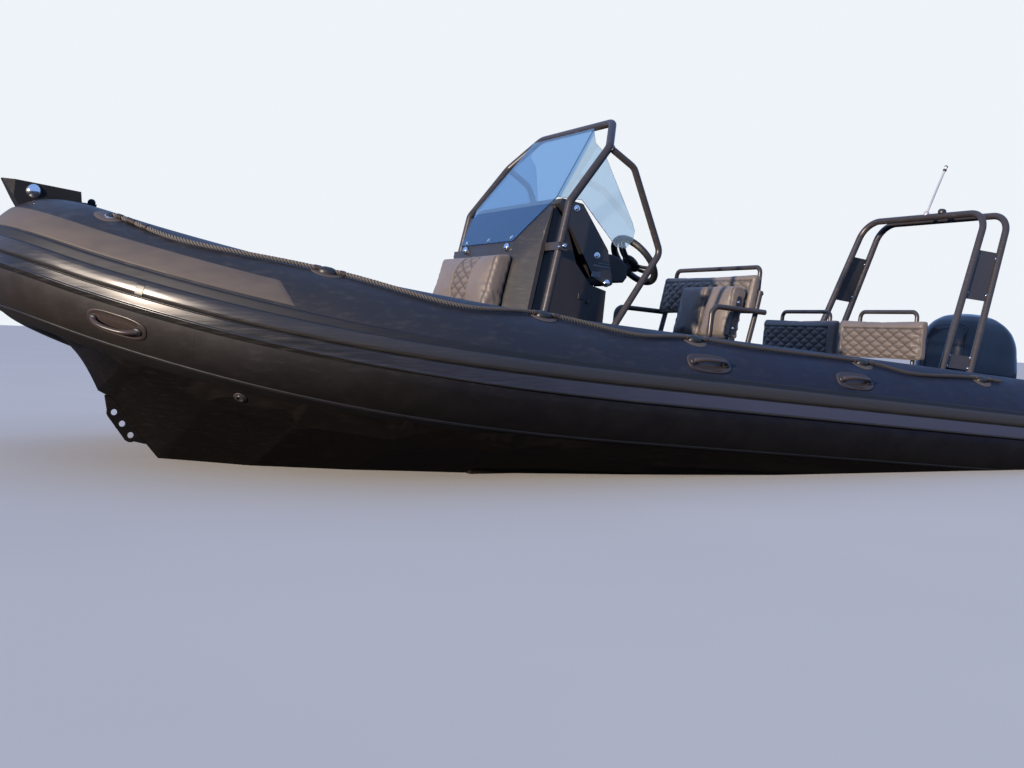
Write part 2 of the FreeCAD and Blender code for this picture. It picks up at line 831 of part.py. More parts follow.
def console_seat():
    """The hollow seat box in front of the console."""
    aft = front_line(deck_level) + 2
    outer = box(aft, console_seat_front, -front_pad_half, front_pad_half, deck_level, console_seat_top)
    well = box(aft + 12, console_seat_front - 12, -front_pad_half + 12, front_pad_half - 12, deck_level + 12,
               console_seat_top)
    return outer.cut(well)


def console_seat_lid():
    aft = front_line(deck_level) + 46
    top = console_seat_top + seat_gap
    front = console_seat_front + 12
    lid = box(aft, front, -front_pad_half - 8, front_pad_half + 8, top, top + lid_thickness)
    knuckles = [rod(Vector(front + 6, y - 45, top + 6), Vector(front + 6, y + 45, top + 6), 6)
                for y in (-180, 180)]
    leaves = [box(front - 2, front + 6, y - 45, y + 45, top + 2, top + 10) for y in (-180, 180)]
    return fused([lid] + knuckles + leaves)


def console_seat_cushion():
    aft = front_line(deck_level) + 64
    low = console_seat_top + seat_gap + lid_thickness
    pad = box(aft, console_seat_front + 10, -front_pad_half, front_pad_half, low, low + 66)
    return softened(pad, 18, lambda e: e.CenterOfMass.z > low + 60)


def windscreen(pod):
    """A folded clear screen: a flat front panel between two fold lines and a wing on each side."""
    def sheet(corners, inward):
        normal = (corners[1] - corners[0]).cross(corners[2] - corners[0]).normalize()
        if normal.dot(inward) < 0:
            normal = normal * -1
        return Part.Face(polygon(corners)).extrude(normal * glass_thickness)
    fx, fy, fz = glass_foot
    tx, ty, tz = glass_top
    my, mz = glass_fold
    mid_x = fx + (tx - fx) / (tz - fz) * (mz - fz)
    half = [(fx, fy, fz), (mid_x, my, mz), (tx, ty, tz)]
    corners = [Vector(*p) for p in half] + [Vector(x, -y, z) for x, y, z in reversed(half)]
    front = sheet(corners, unit_x * -1)
    fold = [corners[1], corners[2]]
    normal = (fold[1] - fold[0]).cross(Vector(*glass_wing_aim) - fold[0]).normalize()
    lean = lambda x, z: fold[0].y - (normal.x * (x - fold[0].x) + normal.z * (z - fold[0].z)) / normal.y
    outline = [(mid_x, mz), (tx, tz)] + list(glass_wing)
    wing = sheet([Vector(x, lean(x, z), z) for x, z in outline], unit_y * -1)
    return fused([front, wing, mirrored(wing)]).cut(pod)


# Console frame corners: x, half-breadth, z
frame_foot = (3345, 520, deck_level)
frame_knee = (3200, 506, 823)
frame_shoulder = (3008, 491, 1109)
frame_corner = (2906, 337, 1264)


def console_hoop():
    """The bent tube hoop that carries the windscreen."""
    port = [Vector(*p) for p in (frame_foot, frame_knee, frame_shoulder, frame_corner)]
    port[0] = port[0] + (port[0] - port[1]).normalize() * 20
    starboard = [Vector(p.x, -p.y, p.z) for p in reversed(port)]
    feet = [Part.makeCylinder(40, 8, Vector(frame_foot[0], side * frame_foot[1], deck_level)) for side in (-1, 1)]
    return on_sole(fused([tube(port + starboard, frame_tube_radius, 60)] + feet))


grab_points = ((3008, 491, 1109), (2866, 500, 1036), (2668, 500, 662), (3128, 500, deck_level))


def grab_rails(hoop):
    """The hand rails that run from the hoop's shoulders down to the sole."""
    points = [Vector(*p) for p in grab_points]
    points[-1] = points[-1] + (points[-1] - points[-2]).normalize() * 20
    rail = on_sole(tube(points, grab_tube_radius, 55)).cut(hoop)
    rail = max(rail.Solids, key=lambda s: s.Volume)
    return [rail, mirrored(rail)]


def frame_clamps():
    """Clamps that tie the hoop to the cowling's sides and the glass."""
    clamps = []
    x = 3200 + (3345 - 3200) * (823 - 610) / (823 - deck_level)
    block = box(x - 24, x + 24, cowling_half, 540, 592, 628)
    tube_way = rod(Vector(*frame_foot), Vector(*frame_knee), frame_tube_radius + seat_gap)
    clamps.append(block.cut(tube_way))
    return clamps + [mirrored(c) for c in clamps]


def wheel_frame():
    """The wheel's centre and the way its shaft points, out of the dash."""
    rake = radians(wheel_rake)
    return Vector(2641, wheel_side, 638), Vector(-cos(rake), 0, sin(rake))


def steering_hub(behind):
    """The steering head's shroud on the dash, with the wheel's shaft."""
    hub, out = wheel_frame()
    outline = [(2960, 640), (2815, 640), (2765, 625), (2725, 590), (2720, 540), (2740, 512), (2960, 490)]
    shroud = softened(slab(outline, wheel_side - 75, wheel_side + 75), 10, lambda e: not along_y(e))
    for solid in behind:
        shroud = shroud.cut(solid)
    shroud = max(shroud.Solids, key=lambda s: s.Volume)
    return fused([shroud, rod(hub - out * 125, hub - out * 50, 30), rod(hub - out * 60, hub - out * 12, 10)])


def steering_wheel():
    """A three-spoke wheel, dished towards the dash."""
    hub, out = wheel_frame()
    rim = Part.makeTorus(wheel_radius - wheel_rim_radius, wheel_rim_radius, hub, out)
    boss = rod(hub - out * 44, hub + out * 2, 34).cut(rod(hub - out * 44, hub - out * 11, 10.06))
    spokes = []
    up = out.cross(unit_y)
    for turn in (90, 210, 330):
        way = up * sin(radians(turn)) + unit_y * cos(radians(turn))
        side = out.cross(way)
        inner = hub - out * 30 + way * 20
        outer = hub - out * 4 + way * (wheel_radius - wheel_rim_radius - 4)
        wires = [polygon([p + side * half + out * 4, p - side * half + out * 4, p - side * half - out * 5,
                          p + side * half - out * 5]) for p, half in ((inner, 22), (outer, 12))]
        spokes.append(Part.makeLoft(wires, True, True))
    return fused([rim, boss] + spokes)


def throttle():
    """The engine control on the dash with its lever."""
    out = wheel_frame()[1]
    foot = Vector(*throttle_place)
    base = rod(foot + out * seat_gap, foot + out * 46, 40)
    lever = rod(foot + out * 30, foot + out * 60 + Vector(-40, 0, 120), 8)
    end = foot + out * 60 + Vector(-40, 0, 120)
    knob = rod(end - unit_y * 30, end + unit_y * 40, 13)
    return fused([base, lever, knob])


# Helm seat

def helm_base():
    """The aluminium seat box with its side lugs for the squabs."""
    body = box(helm_base_aft, helm_base_front, -helm_base_half, helm_base_half, deck_level, helm_base_top)
    kick = slab([(helm_base_front - 60, deck_level), (helm_base_front + 1, deck_level),
                 (helm_base_front + 1, deck_level + 110), (helm_base_front - 60, deck_level + 90)],
                -helm_base_half - 1, helm_base_half + 1)
    lugs = []
    for y in (squab_middle + squab_outer + 6, squab_middle - squab_outer - 16):
        lug = slab([(squab_hinge_x - 26, helm_base_top - 60), (squab_hinge_x + 26, helm_base_top - 60),
                    (squab_hinge_x + 18, squab_hinge_z + 16), (squab_hinge_x - 18, squab_hinge_z + 16)], y, y + 10)
        arm = box(squab_hinge_x - 26, squab_hinge_x + 26, min(y, helm_base_half * (1 if y > 0 else -1)),
                  max(y + 10, helm_base_half * (1 if y > 0 else -1)), helm_base_top - 60, helm_base_top - 20)
        lugs += [lug, arm]
    middle = box(squab_hinge_x - 20, squab_hinge_x + 20, squab_middle - 4, squab_middle + 4,
                 helm_base_top - 2, squab_hinge_z + 14)
    pin_way = rod(Vector(squab_hinge_x, squab_middle - squab_outer - 30, squab_hinge_z),
                  Vector(squab_hinge_x, squab_middle + squab_outer + 30, squab_hinge_z), squab_pin_radius + 0.06)
    return fused([body.cut(kick), middle] + lugs).cut(pin_way)


def squab_breadth(side):
    near, far = sorted((squab_middle + side * squab_gap / 2, squab_middle + side * squab_outer))
    return near, far


def leaning(shape):
    """Laid back about the squabs' hinge, as they stand when raised."""
    shape.rotate(Vector(squab_hinge_x, 0, squab_hinge_z), unit_y, -squab_lean)
    return shape


def squab(side):
    """One flip-up seat squab, raised on edge."""
    low, high = squab_breadth(side)
    half = squab_thickness / 2
    x = squab_hinge_x
    pad = box(x - half, x + half, low, high, squab_hinge_z + 16, squab_hinge_z + squab_height)
    pad = softened(pad, 34, lambda e: along_y(e) and e.CenterOfMass.z > squab_hinge_z + 100)
    return leaning(pad)


def squab_bracket(side):
    """The squab's bed plate on its hinge pin."""
    low, high = squab_breadth(side)
    x = squab_hinge_x
    inner, outer = (low - squab_gap / 2 + 0.5, high + 15) if side > 0 else (low - 15, high + squab_gap / 2 - 0.5)
    pin = rod(Vector(x, inner, squab_hinge_z), Vector(x, outer, squab_hinge_z), squab_pin_radius)
    bed = box(x - 24, x + 24, low + 2, high - 2, squab_hinge_z + 4, squab_hinge_z + 15.7)
    return leaning(fused([pin, bed]))


def helm_backrest():
    """The leaning backrest pad on its posts."""
    outline = [(1927, 652), (1957, 448), (2004, 455), (1974, 655)]
    rest = slab(outline, -backrest_half, backrest_half)
    return softened(rest, 16, lambda e: e.CenterOfMass.x + 0.147 * (e.CenterOfMass.z - 650) > 1935)


def helm_frame(backrest):
    """Posts, arm rests and the rail round the helm seat's back."""
    pieces = []
    post_y, arm_y = backrest_post, backrest_arm
    for side in (-1, 1):
        post = tube([Vector(1948, side * post_y, deck_level - 20), Vector(1988, side * post_y, 250),
                     Vector(1948, side * post_y, 452), Vector(1927, side * post_y, 585)], arm_tube_radius, 50)
        arm = tube([Vector(1918, side * arm_y, 462), Vector(2262, side * arm_y, 455),
                    Vector(2262, side * arm_y, 300), Vector(2262, side * 330, 215)],
                   arm_tube_radius, 46)
        link = rod(Vector(1940, side * post_y, 462), Vector(1918, side * arm_y, 462), 10)
        pieces += [post, arm, link]
    rail = tube([Vector(1918, -358, 560), Vector(1918, -358, 700), Vector(1918, 358, 700), Vector(1918, 358, 560)],
                rail_tube_radius, 32)
    bar = rod(Vector(1918, -post_y, 560), Vector(1918, post_y, 560), rail_tube_radius - 2)
    pieces += [rail, bar]
    return on_sole(fused(pieces)).cut(backrest)


# Stern seats

def bench():
    """The hollow stern bench."""
    outer = box(bench_aft, bench_front, -bench_half, bench_half, deck_level, bench_top)
    well = box(bench_aft + 12, bench_front - 12, -bench_half + 12, bench_half - 12, deck_level + 12, bench_top)
    deck = box(bench_aft, bench_hinge_x - 12, -bench_half, bench_half, bench_top - 12, bench_top)
    return fused([outer.cut(well), deck])


def bench_lid():
    low = bench_top + seat_gap
    lid = box(bench_hinge_x, bench_front + 14, -bench_half, bench_half, low, low + lid_thickness)
    knuckle = [rod(Vector(bench_hinge_x, y - 50, low + 6), Vector(bench_hinge_x, y + 50, low + 6), 6)
               for y in (-300, 300)]
    return fused([lid] + knuckle)


def bench_cushion():
    low = bench_top + seat_gap + lid_thickness
    pad = box(bench_hinge_x + 16, bench_front + 12, -bench_half + 6, bench_half - 6, low, low + cushion_thickness)
    return softened(pad, 22, lambda e: e.CenterOfMass.z > low + cushion_thickness - 4)


def stern_backrest(side):
    """A thick padded back on one side of the stern bench."""
    low, high = (stern_rest_inner, stern_rest_outer) if side > 0 else (-stern_rest_outer, -stern_rest_inner)
    back = stern_rail_x + rail_tube_radius + seat_gap
    outline = [(back, 312), (1000, 308), (998, 500), (982, 525), (back, 525)]
    pad = slab(outline, low, high)
    return softened(pad, 12, lambda e: not along_y(e) and e.CenterOfMass.x > 950)


def stern_rails():
    """Rails over the stern backrests, carried by posts from the bench."""
    rails = []
    for side in (-1, 1):
        inner, outer = side * 121, side * 538
        loop = tube([Vector(stern_rail_x, inner, bench_top - 40), Vector(stern_rail_x, inner, 580), Vector(stern_rail_x, outer, 580),
                     Vector(stern_rail_x, outer, bench_top - 40)], rail_tube_radius, 34)
        rails.append(loop.cut(box(bench_aft, bench_front, -bench_half, bench_half, deck_level, bench_top)))
    return Part.makeCompound(rails)


# Arch: foot and corner of each hoop
arch_fore = ((842, 574, deck_level), (372, 465, 1226))
arch_aft = ((612, 588, deck_level), (205, 487, 1236))


def arch_hoop(foot, corner):
    port = [Vector(*foot), Vector(*corner)]
    port[0] = port[0] + (port[0] - port[1]).normalize() * 20
    starboard = [Vector(p.x, -p.y, p.z) for p in reversed(port)]
    return on_sole(tube(port + starboard, arch_tube_radius, arch_bend))


def leg_at(foot, corner, z):
    share = (z - foot[2]) / (corner[2] - foot[2])
    return Vector(*[a + (b - a) * share for a, b in zip(foot, corner)])


def arch_panels(hoops):
    """Plates between the legs of the two hoops, high and low on each side."""
    panels = []
    for low_z, high_z in ((706, 996), (300, 378)):
        corners = [leg_at(*arch_aft, low_z), leg_at(*arch_fore, low_z), leg_at(*arch_fore, high_z),
                   leg_at(*arch_aft, high_z)]
        normal = (corners[1] - corners[0]).cross(corners[3] - corners[0]).normalize()
        corners[2] = corners[2] - normal * (corners[2] - corners[0]).dot(normal)
        plate = Part.Face(polygon([c - normal * 3 for c in corners])).extrude(normal * 6)
        for hoop in hoops:
            plate = plate.cut(hoop)
        panels.append(max(plate.Solids, key=lambda s: s.Volume))
    return panels + [mirrored(p) for p in panels]


def arch_feet(hoops):
    """Round flanges under the legs."""
    feet = []
    for foot, corner in (arch_fore, arch_aft):
        flange = Part.makeCylinder(46, 8, Vector(foot[0], foot[1], deck_level))
        feet.append(flange)
    return feet + [mirrored(f) for f in feet]


def stern_light(hoop):
    """The all-round light on its stalk, stood on the forward hoop."""
    x, _, z = arch_fore[1]
    foot = Vector(x, 20, z + arch_tube_radius)
    top = foot + Vector(-118, 0, 290)
    stalk = rod(foot, top, 5)
    base = rod(foot - Vector(0, 0, 8), foot + Vector(0, 0, 16), 16)
    lamp = rod(top, top + (top - foot).normalize() * 30, 11)
    return fused([stalk, base, lamp]).cut(hoop)


def aerial_dome(hoop):
    """A small domed aerial beside the light."""
    x, _, z = arch_fore[1]
    base = Part.makeCylinder(24, 20, Vector(x, 138, z + arch_tube_radius - 8))
    return fused([base, Part.makeCone(24, 14, 12, Vector(x, 138, z + arch_tube_radius + 12))]).cut(hoop)


# Outboard

def clamp_bracket():
    """The two clamp plates on the transom, their top hooks and the tilt pin between them."""
    plates = []
    for side in (-1, 1):
        y0 = side * bracket_half - 9
        outline = [(tilt_axis_x + 24, 36), (transom_thickness + 2, transom_notch_level + 16),
                   (transom_thickness + 2, transom_notch_level + seat_gap), (-seat_gap, transom_notch_level + seat_gap),
                   (-seat_gap, -345), (-44, -352), (-96, -300), (-74, -60), (-16, 36), (0, 52), (28, 52)]
        plates.append(slab(outline, y0, y0 + 18))
    pin = rod(Vector(tilt_axis_x, -bracket_half, tilt_axis_z), Vector(tilt_axis_x, bracket_half, tilt_axis_z), 11)
    foot = box(-26, -seat_gap, -bracket_half, bracket_half, -345, -300)
    return fused(plates + [pin, foot])


def swivel_bracket():
    """The tilting bracket with its bore for the pin and its steering post."""
    half = bracket_half - 9 - 5.5
    head = slab([(tilt_axis_x + 22, 12), (tilt_axis_x + 22, 46), (tilt_axis_x - 10, 52), (-66, 52), (-66, -22),
                 (-30, -14)], -half, half)
    neck = slab([(-60, 47), (steer_axis_x, 45), (steer_axis_x, -296), (-124, -296), (-60, -18)], -29, 29)
    bore = rod(Vector(tilt_axis_x, -half, tilt_axis_z), Vector(tilt_axis_x, half, tilt_axis_z), 11.06)
    post = rod(Vector(steer_axis_x, 0, -300), Vector(steer_axis_x, 0, 50), 34)
    steer_bore = rod(Vector(steer_axis_x, 0, -330), Vector(steer_axis_x, 0, 60), 15.06)
    return fused([head, neck, post]).cut(bore).cut(steer_bore)


def wing_section(x_nose, x_tail, half, z):
    """A streamlined plan section: round nose, tapered tail."""
    mid = x_nose - (x_nose - x_tail) * 0.36
    nose = Part.Arc(Vector(mid, -half, z), Vector(x_nose, 0, z), Vector(mid, half, z))
    tail = [Part.LineSegment(Vector(mid, half, z), Vector(x_tail, half * 0.16, z)),
            Part.LineSegment(Vector(x_tail, half * 0.16, z), Vector(x_tail, -half * 0.16, z)),
            Part.LineSegment(Vector(x_tail, -half * 0.16, z), Vector(mid, -half, z))]
    return Part.Wire([e.toShape() for e in [nose] + tail])


def engine_leg():
    """The pan under the cowl and the midsection down to the anti-ventilation plate, on its steering pin."""
    top = cowl_bottom - seat_gap
    pan = Part.makeLoft([wing_section(88, cowl_aft + 30, 176, pan_bottom),
                         wing_section(128, cowl_aft + 22, 206, top)], True, True)
    mid = Part.makeLoft([wing_section(-206, cowl_aft + 40, 140, 76), wing_section(-206, cowl_aft + 44, 88, -60),
                         wing_section(-206, -412, 66, -200), wing_section(-206, -405, 56, -420),
                         wing_section(-196, -430, 52, plate_level + 10)], True, True)
    pin = rod(Vector(steer_axis_x, 0, -346), Vector(steer_axis_x, 0, pan_bottom + 4), 15)
    yoke = box(-240, steer_axis_x + 22, -34, 34, -352, -336)
    return fused([pan, mid, pin, yoke])


def gearcase():
    """The lower unit: plate, strut, bullet and skeg, with the propeller shaft."""
    plate = Part.Face(wing_section(-150, -585, 112, plate_level)).extrude(Vector(0, 0, 10 - seat_gap))
    strut = Part.makeLoft([wing_section(-190, -440, 50, plate_level), wing_section(-180, -440, 34, -800),
                           wing_section(-178, -448, 40, prop_axis_z)], True, True)
    profile = [Part.Arc(Vector(-120, 0, prop_axis_z), Vector(-172, 0, prop_axis_z + 43),
                        Vector(-260, 0, prop_axis_z + 58)),
               Part.LineSegment(Vector(-260, 0, prop_axis_z + 58), Vector(-470, 0, prop_axis_z + 50)),
               Part.LineSegment(Vector(-470, 0, prop_axis_z + 50), Vector(-470, 0, prop_axis_z)),
               Part.LineSegment(Vector(-470, 0, prop_axis_z), Vector(-120, 0, prop_axis_z))]
    face = Part.Face(Part.Wire([e.toShape() for e in profile]))
    bullet = face.revolve(Vector(0, 0, prop_axis_z), unit_x, 360)
    skeg = slab([(-215, prop_axis_z - 30), (-300, -1052), (-372, -1060), (-420, prop_axis_z - 30)], -7, 7)
    shaft = rod(Vector(-469, 0, prop_axis_z), Vector(-568, 0, prop_axis_z), 12)
    return fused([plate, strut, bullet, skeg, shaft])


def propeller():
    """A three-blade propeller on a barrel hub."""
    hub_front, hub_back, hub_radius = -476, -566, 48
    hub = rod(Vector(hub_front, 0, prop_axis_z), Vector(hub_back, 0, prop_axis_z), hub_radius)
    blades = []
    for turn in (90, 210, 330):
        wires = []
        for radius, chord, pitch in ((42, 62, 52), (105, 150, 38), (160, 108, 28), (prop_radius, 26, 25)):
            angle = radians(pitch)
            along = Vector(-sin(angle), cos(angle), 0)
            face = Vector(cos(angle), sin(angle), 0)
            middle = Vector((hub_front + hub_back) / 2, 0, radius)
            thick = 5 if radius < 150 else 3
            wires.append(polygon([middle + along * chord / 2, middle + face * thick, middle - along * chord / 2,
                                  middle - face * thick]))
        blade = Part.makeLoft(wires, True, True)
        blade.translate(Vector(0, 0, prop_axis_z))
        blade.rotate(Vector(0, 0, prop_axis_z), unit_x, turn)
        blades.append(blade)
    bore = rod(Vector(hub_front, 0, prop_axis_z), Vector(hub_back, 0, prop_axis_z), 12.05)
    return fused([hub] + blades).cut(bore)


# Cowl sections: height, front, aft, half-width, front corner, aft corner
cowl_table = (
    (cowl_bottom, cowl_front - 12, cowl_aft + 22, cowl_half - 9, 118, 96),
    (cowl_bottom + 95, cowl_front, cowl_aft + 4, cowl_half, 124, 110),
    (cowl_bottom + 315, cowl_front - 10, cowl_aft, cowl_half - 2, 130, 118),
    (cowl_bottom + 465, cowl_front - 44, cowl_aft + 34, cowl_half - 22, 130, 118),
    (cowl_bottom + 540, cowl_front - 100, cowl_aft + 100, cowl_half - 62, 110, 100),
    (cowl_top, cowl_front - 190, cowl_aft + 190, cowl_half - 130, 70, 66),
)


def cowl_wire(z, front, aft, half, front_corner, aft_corner, inset=0):
    """A plan outline with round corners."""
    front -= inset
    aft += inset
    half -= inset
    edges = []
    corners = ((front, half, front_corner), (aft, half, aft_corner), (aft, -half, aft_corner),
               (front, -half, front_corner))
    diagonal = sqrt(0.5)
    starts = []
    for x, y, r in corners:
        sx = 1 if x == front else -1
        sy = 1 if y > 0 else -1
        centre = Vector(x - sx * r, y - sy * r, z)
        ahead = centre + Vector(sx * r, 0, 0)
        aside = centre + Vector(0, sy * r, 0)
        middle = centre + Vector(sx * r * diagonal, sy * r * diagonal, 0)
        order = (ahead, middle, aside) if sx * sy > 0 else (aside, middle, ahead)
        starts.append(order)
    for here, following in zip(starts, starts[1:] + starts[:1]):
        edges.append(Part.Arc(*here).toShape())
        edges.append(Part.LineSegment(here[2], following[0]).toShape())
    return Part.Wire(edges)


def engine_cowl():
    """The hollow engine cover."""
    outer = Part.makeLoft([cowl_wire(*row) for row in cowl_table], True, True)
    rows = [(row[0] if i < len(cowl_table) - 1 else row[0] - cowl_wall * 2,) + row[1:]
            for i, row in enumerate(cowl_table)]
    inner = Part.makeLoft([cowl_wire(*row, inset=cowl_wall * 2) for row in rows], True, True)
    return outer.cut(inner)


def powerhead():
    """The engine's mass as one block under the cowl."""
    return box(cowl_aft + 110, cowl_front - 110, -130, 130, cowl_bottom, cowl_top - 180)


def build():
    """Every sub-part of the level boat, by name."""
    hull = fused([hull_solid()] + [clear_of_collar(r) for r in chine_rails()])
    body = console_body()
    pod = dash_pod()
    seat_box = helm_base()
    backrest = helm_backrest()
    hoop = console_hoop()
    hoops = [arch_hoop(*arch_fore), arch_hoop(*arch_aft)]
    feet = arch_feet(hoops)
    arch = Part.makeCompound([fused([hoops[0], feet[0], feet[2]]), fused([hoops[1], feet[1], feet[3]])])
    nodes = {
        "hull": hull,
        "deck_sole": deck_sole().cut(hull),
        "transom_board": transom_board(),
        "stern_eyes": stern_eyes(),
        "bow_eye_plate": bow_eye_plate(hull),
        "tube_collar": tube_core(tube_radius),
        "rub_strake": rub_strake(),
        "wear_patches": wear_patches(),
        "lifelines": lifelines(),
        "rope_patches": rope_patches(),
        "tube_handles": tube_handles(),
        "bow_step": bow_step(),
        "bow_pin": bow_pin(),
        "bow_locker": bow_locker().cut(hull),
        "bow_locker_lid": bow_locker_lid(),
        "console_body": body,
        "console_cowling": console_cowling(),
        "dash_pod": pod,
        "front_pad": front_pad(),
        "console_seat": console_seat(),
        "console_seat_lid": console_seat_lid(),
        "console_seat_cushion": console_seat_cushion(),
        "windscreen": windscreen(pod),
        "console_hoop": hoop,
        "grab_rails": Part.makeCompound(grab_rails(hoop)),
        "frame_clamps": Part.makeCompound(frame_clamps()),
        "steering_hub": steering_hub([pod, body]),
        "steering_wheel": steering_wheel(),
        "throttle": throttle().cut(pod),
        "helm_base": seat_box,
        "helm_backrest": backrest,
        "helm_frame": helm_frame(backrest).cut(seat_box),
        "squab_port": squab(1),
        "squab_starboard": squab(-1),
        "squab_bracket_port": squab_bracket(1),
        "squab_bracket_starboard": squab_bracket(-1),
        "bench": bench(),
        "bench_lid": bench_lid(),
        "bench_cushion": bench_cushion(),
        "stern_backrest_port": stern_backrest(1),
        "stern_backrest_starboard": stern_backrest(-1),
        "stern_rails": stern_rails(),
        "stern_arch": arch,
        "arch_panels": Part.makeCompound(arch_panels(hoops)),
        "stern_light": stern_light(hoops[0]),
        "aerial_dome": aerial_dome(hoops[0]),
        "clamp_bracket": clamp_bracket(),
        "swivel_bracket": swivel_bracket(),
        "engine_leg": engine_leg(),
        "gearcase": gearcase(),
        "propeller": propeller(),
        "engine_cowl": engine_cowl(),
        "powerhead": powerhead(),
    }
    return nodes


afloat = Placement(origin, Rotation(unit_y, -trim_angle)).multiply(
    Placement(Vector(0, 0, -waterline_at_transom), Rotation()))

os.makedirs("parts", exist_ok=True)
for name, shape in build().items():
    placed = shape.copy()
    placed.Placement = afloat.multiply(placed.Placement)
    placed.exportStep("parts/" + name + ".step")
    kinds = "valid" if placed.isValid() else "NOT VALID"
    print(name, len(placed.Solids), "solids", round(placed.Volume / 1e6, 3), "litres", kinds)
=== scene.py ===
import json
import math

import bmesh
import bpy
import numpy as np
from mathutils import Matrix

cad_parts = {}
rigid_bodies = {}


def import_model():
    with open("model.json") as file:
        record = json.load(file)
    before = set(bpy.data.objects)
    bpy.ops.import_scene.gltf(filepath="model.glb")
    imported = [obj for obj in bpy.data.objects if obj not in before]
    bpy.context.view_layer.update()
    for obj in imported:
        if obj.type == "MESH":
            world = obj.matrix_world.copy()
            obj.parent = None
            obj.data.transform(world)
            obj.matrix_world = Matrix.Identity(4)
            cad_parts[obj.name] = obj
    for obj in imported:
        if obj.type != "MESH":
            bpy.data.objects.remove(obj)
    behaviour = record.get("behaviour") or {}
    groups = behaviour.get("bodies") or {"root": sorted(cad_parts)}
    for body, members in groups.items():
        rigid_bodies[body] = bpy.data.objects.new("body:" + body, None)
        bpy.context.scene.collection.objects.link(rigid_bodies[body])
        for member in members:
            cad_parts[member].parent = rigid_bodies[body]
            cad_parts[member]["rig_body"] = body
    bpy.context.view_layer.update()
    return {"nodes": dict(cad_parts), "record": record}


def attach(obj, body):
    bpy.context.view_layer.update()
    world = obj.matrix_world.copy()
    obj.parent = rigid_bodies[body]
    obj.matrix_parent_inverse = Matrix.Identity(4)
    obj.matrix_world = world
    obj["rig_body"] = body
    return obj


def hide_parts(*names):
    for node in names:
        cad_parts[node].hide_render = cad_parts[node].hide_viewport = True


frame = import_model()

# The boat is drawn level, in millimetres, and trimmed afloat: bow up, waterline at z = 0
trim = math.radians(4.2)
waterline = -150.0


def turned(v, angle=trim):
    """Directions of the level boat, turned bow up."""
    v = np.asarray(v, float)
    c, s = math.cos(angle), math.sin(angle)
    return np.stack([v[..., 0] * c - v[..., 2] * s, v[..., 1], v[..., 0] * s + v[..., 2] * c], -1)


def afloat(p):
    """Points of the level boat in millimetres, placed afloat in metres."""
    return turned(np.asarray(p, float) - (0, 0, waterline)) / 1000


def unit(v):
    v = np.asarray(v, float)
    return v / np.linalg.norm(v, axis=-1, keepdims=True)


def positive(v, axis):
    """The direction or its opposite, whichever is positive along one axis."""
    return v if v[axis] > 0 else -v


def mirrored(points):
    return np.asarray(points, float) * (1, -1, 1)


def smoothStep(x, low, high):
    t = np.clip((x - low) / (high - low), 0, 1)
    return t * t * (3 - 2 * t)


def hump(x, width):
    """A bell of height one round zero."""
    return np.exp(-(x / width) ** 2)


def circle(count):
    return np.linspace(0, 2 * np.pi, count, endpoint=False)


def runAlong(path):
    """The distance from the start of a path to each of its points."""
    return np.concatenate([[0], np.cumsum(np.linalg.norm(np.diff(path, axis=0), axis=1))])


# Mesh chunks: points and a list of faces

def gridFaces(rows, cols, loopRows=False, loopCols=False):
    r = np.arange(rows if loopRows else rows - 1)[:, None]
    c = np.arange(cols if loopCols else cols - 1)[None]
    r2, c2 = (r + 1) % rows, (c + 1) % cols
    return np.stack([r * cols + c, r2 * cols + c, r2 * cols + c2, r * cols + c2], -1).reshape(-1, 4)


def loopGrid(points, loopRows=False):
    """Rows of closed loops as a skin, its open row ends closed by one face each."""
    rows, cols = points.shape[:2]
    faces = gridFaces(rows, cols, loopRows, True).tolist()
    if not loopRows:
        faces += [list(range(cols)), list(range((rows - 1) * cols, rows * cols))]
    return points.reshape(-1, 3), faces


def joined(*chunks):
    points, faces, base = [], [], 0
    for p, f in chunks:
        points.append(p)
        faces += [[i + base for i in face] for face in f]
        base += len(p)
    return np.concatenate(points), faces


def flipped(chunk):
    return mirrored(chunk[0]), [face[::-1] for face in chunk[1]]


def bothSides(*chunks):
    return joined(*chunks, *[flipped(c) for c in chunks])


def slab(outline, low, high, axis=1):
    """An outline in the other two axes, as thick as low to high along one axis."""
    flat = np.asarray(outline, float)
    return loopGrid(np.stack([np.insert(flat, axis, level, axis=1) for level in (low, high)]))


def rectangle(x0, y0, x1, y1):
    return [(x0, y0), (x1, y0), (x1, y1), (x0, y1)]


def blockChunk(low, high):
    return slab(rectangle(low[0], low[2], high[0], high[2]), low[1], high[1])


def frames(path):
    """Two cross directions along a path, carried without twist."""
    tangent = unit(np.gradient(path, axis=0))
    first = np.array([0.0, 0.0, 1.0]) if abs(tangent[0][2]) < 0.8 else np.array([1.0, 0.0, 0.0])
    across = [unit(np.cross(tangent[0], first))]
    for t in tangent[1:]:
        across.append(unit(across[-1] - t * (across[-1] @ t)))
    across = np.array(across)
    return across, np.cross(tangent, across)


def tubeChunk(path, radius, sides=16):
    path = np.asarray(path, float)
    a, b = frames(path)
    turn = circle(sides)[None, :, None]
    reach = np.broadcast_to(np.asarray(radius, float), len(path))[:, None, None]
    return loopGrid(path[:, None] + reach * (np.cos(turn) * a[:, None] + np.sin(turn) * b[:, None]))


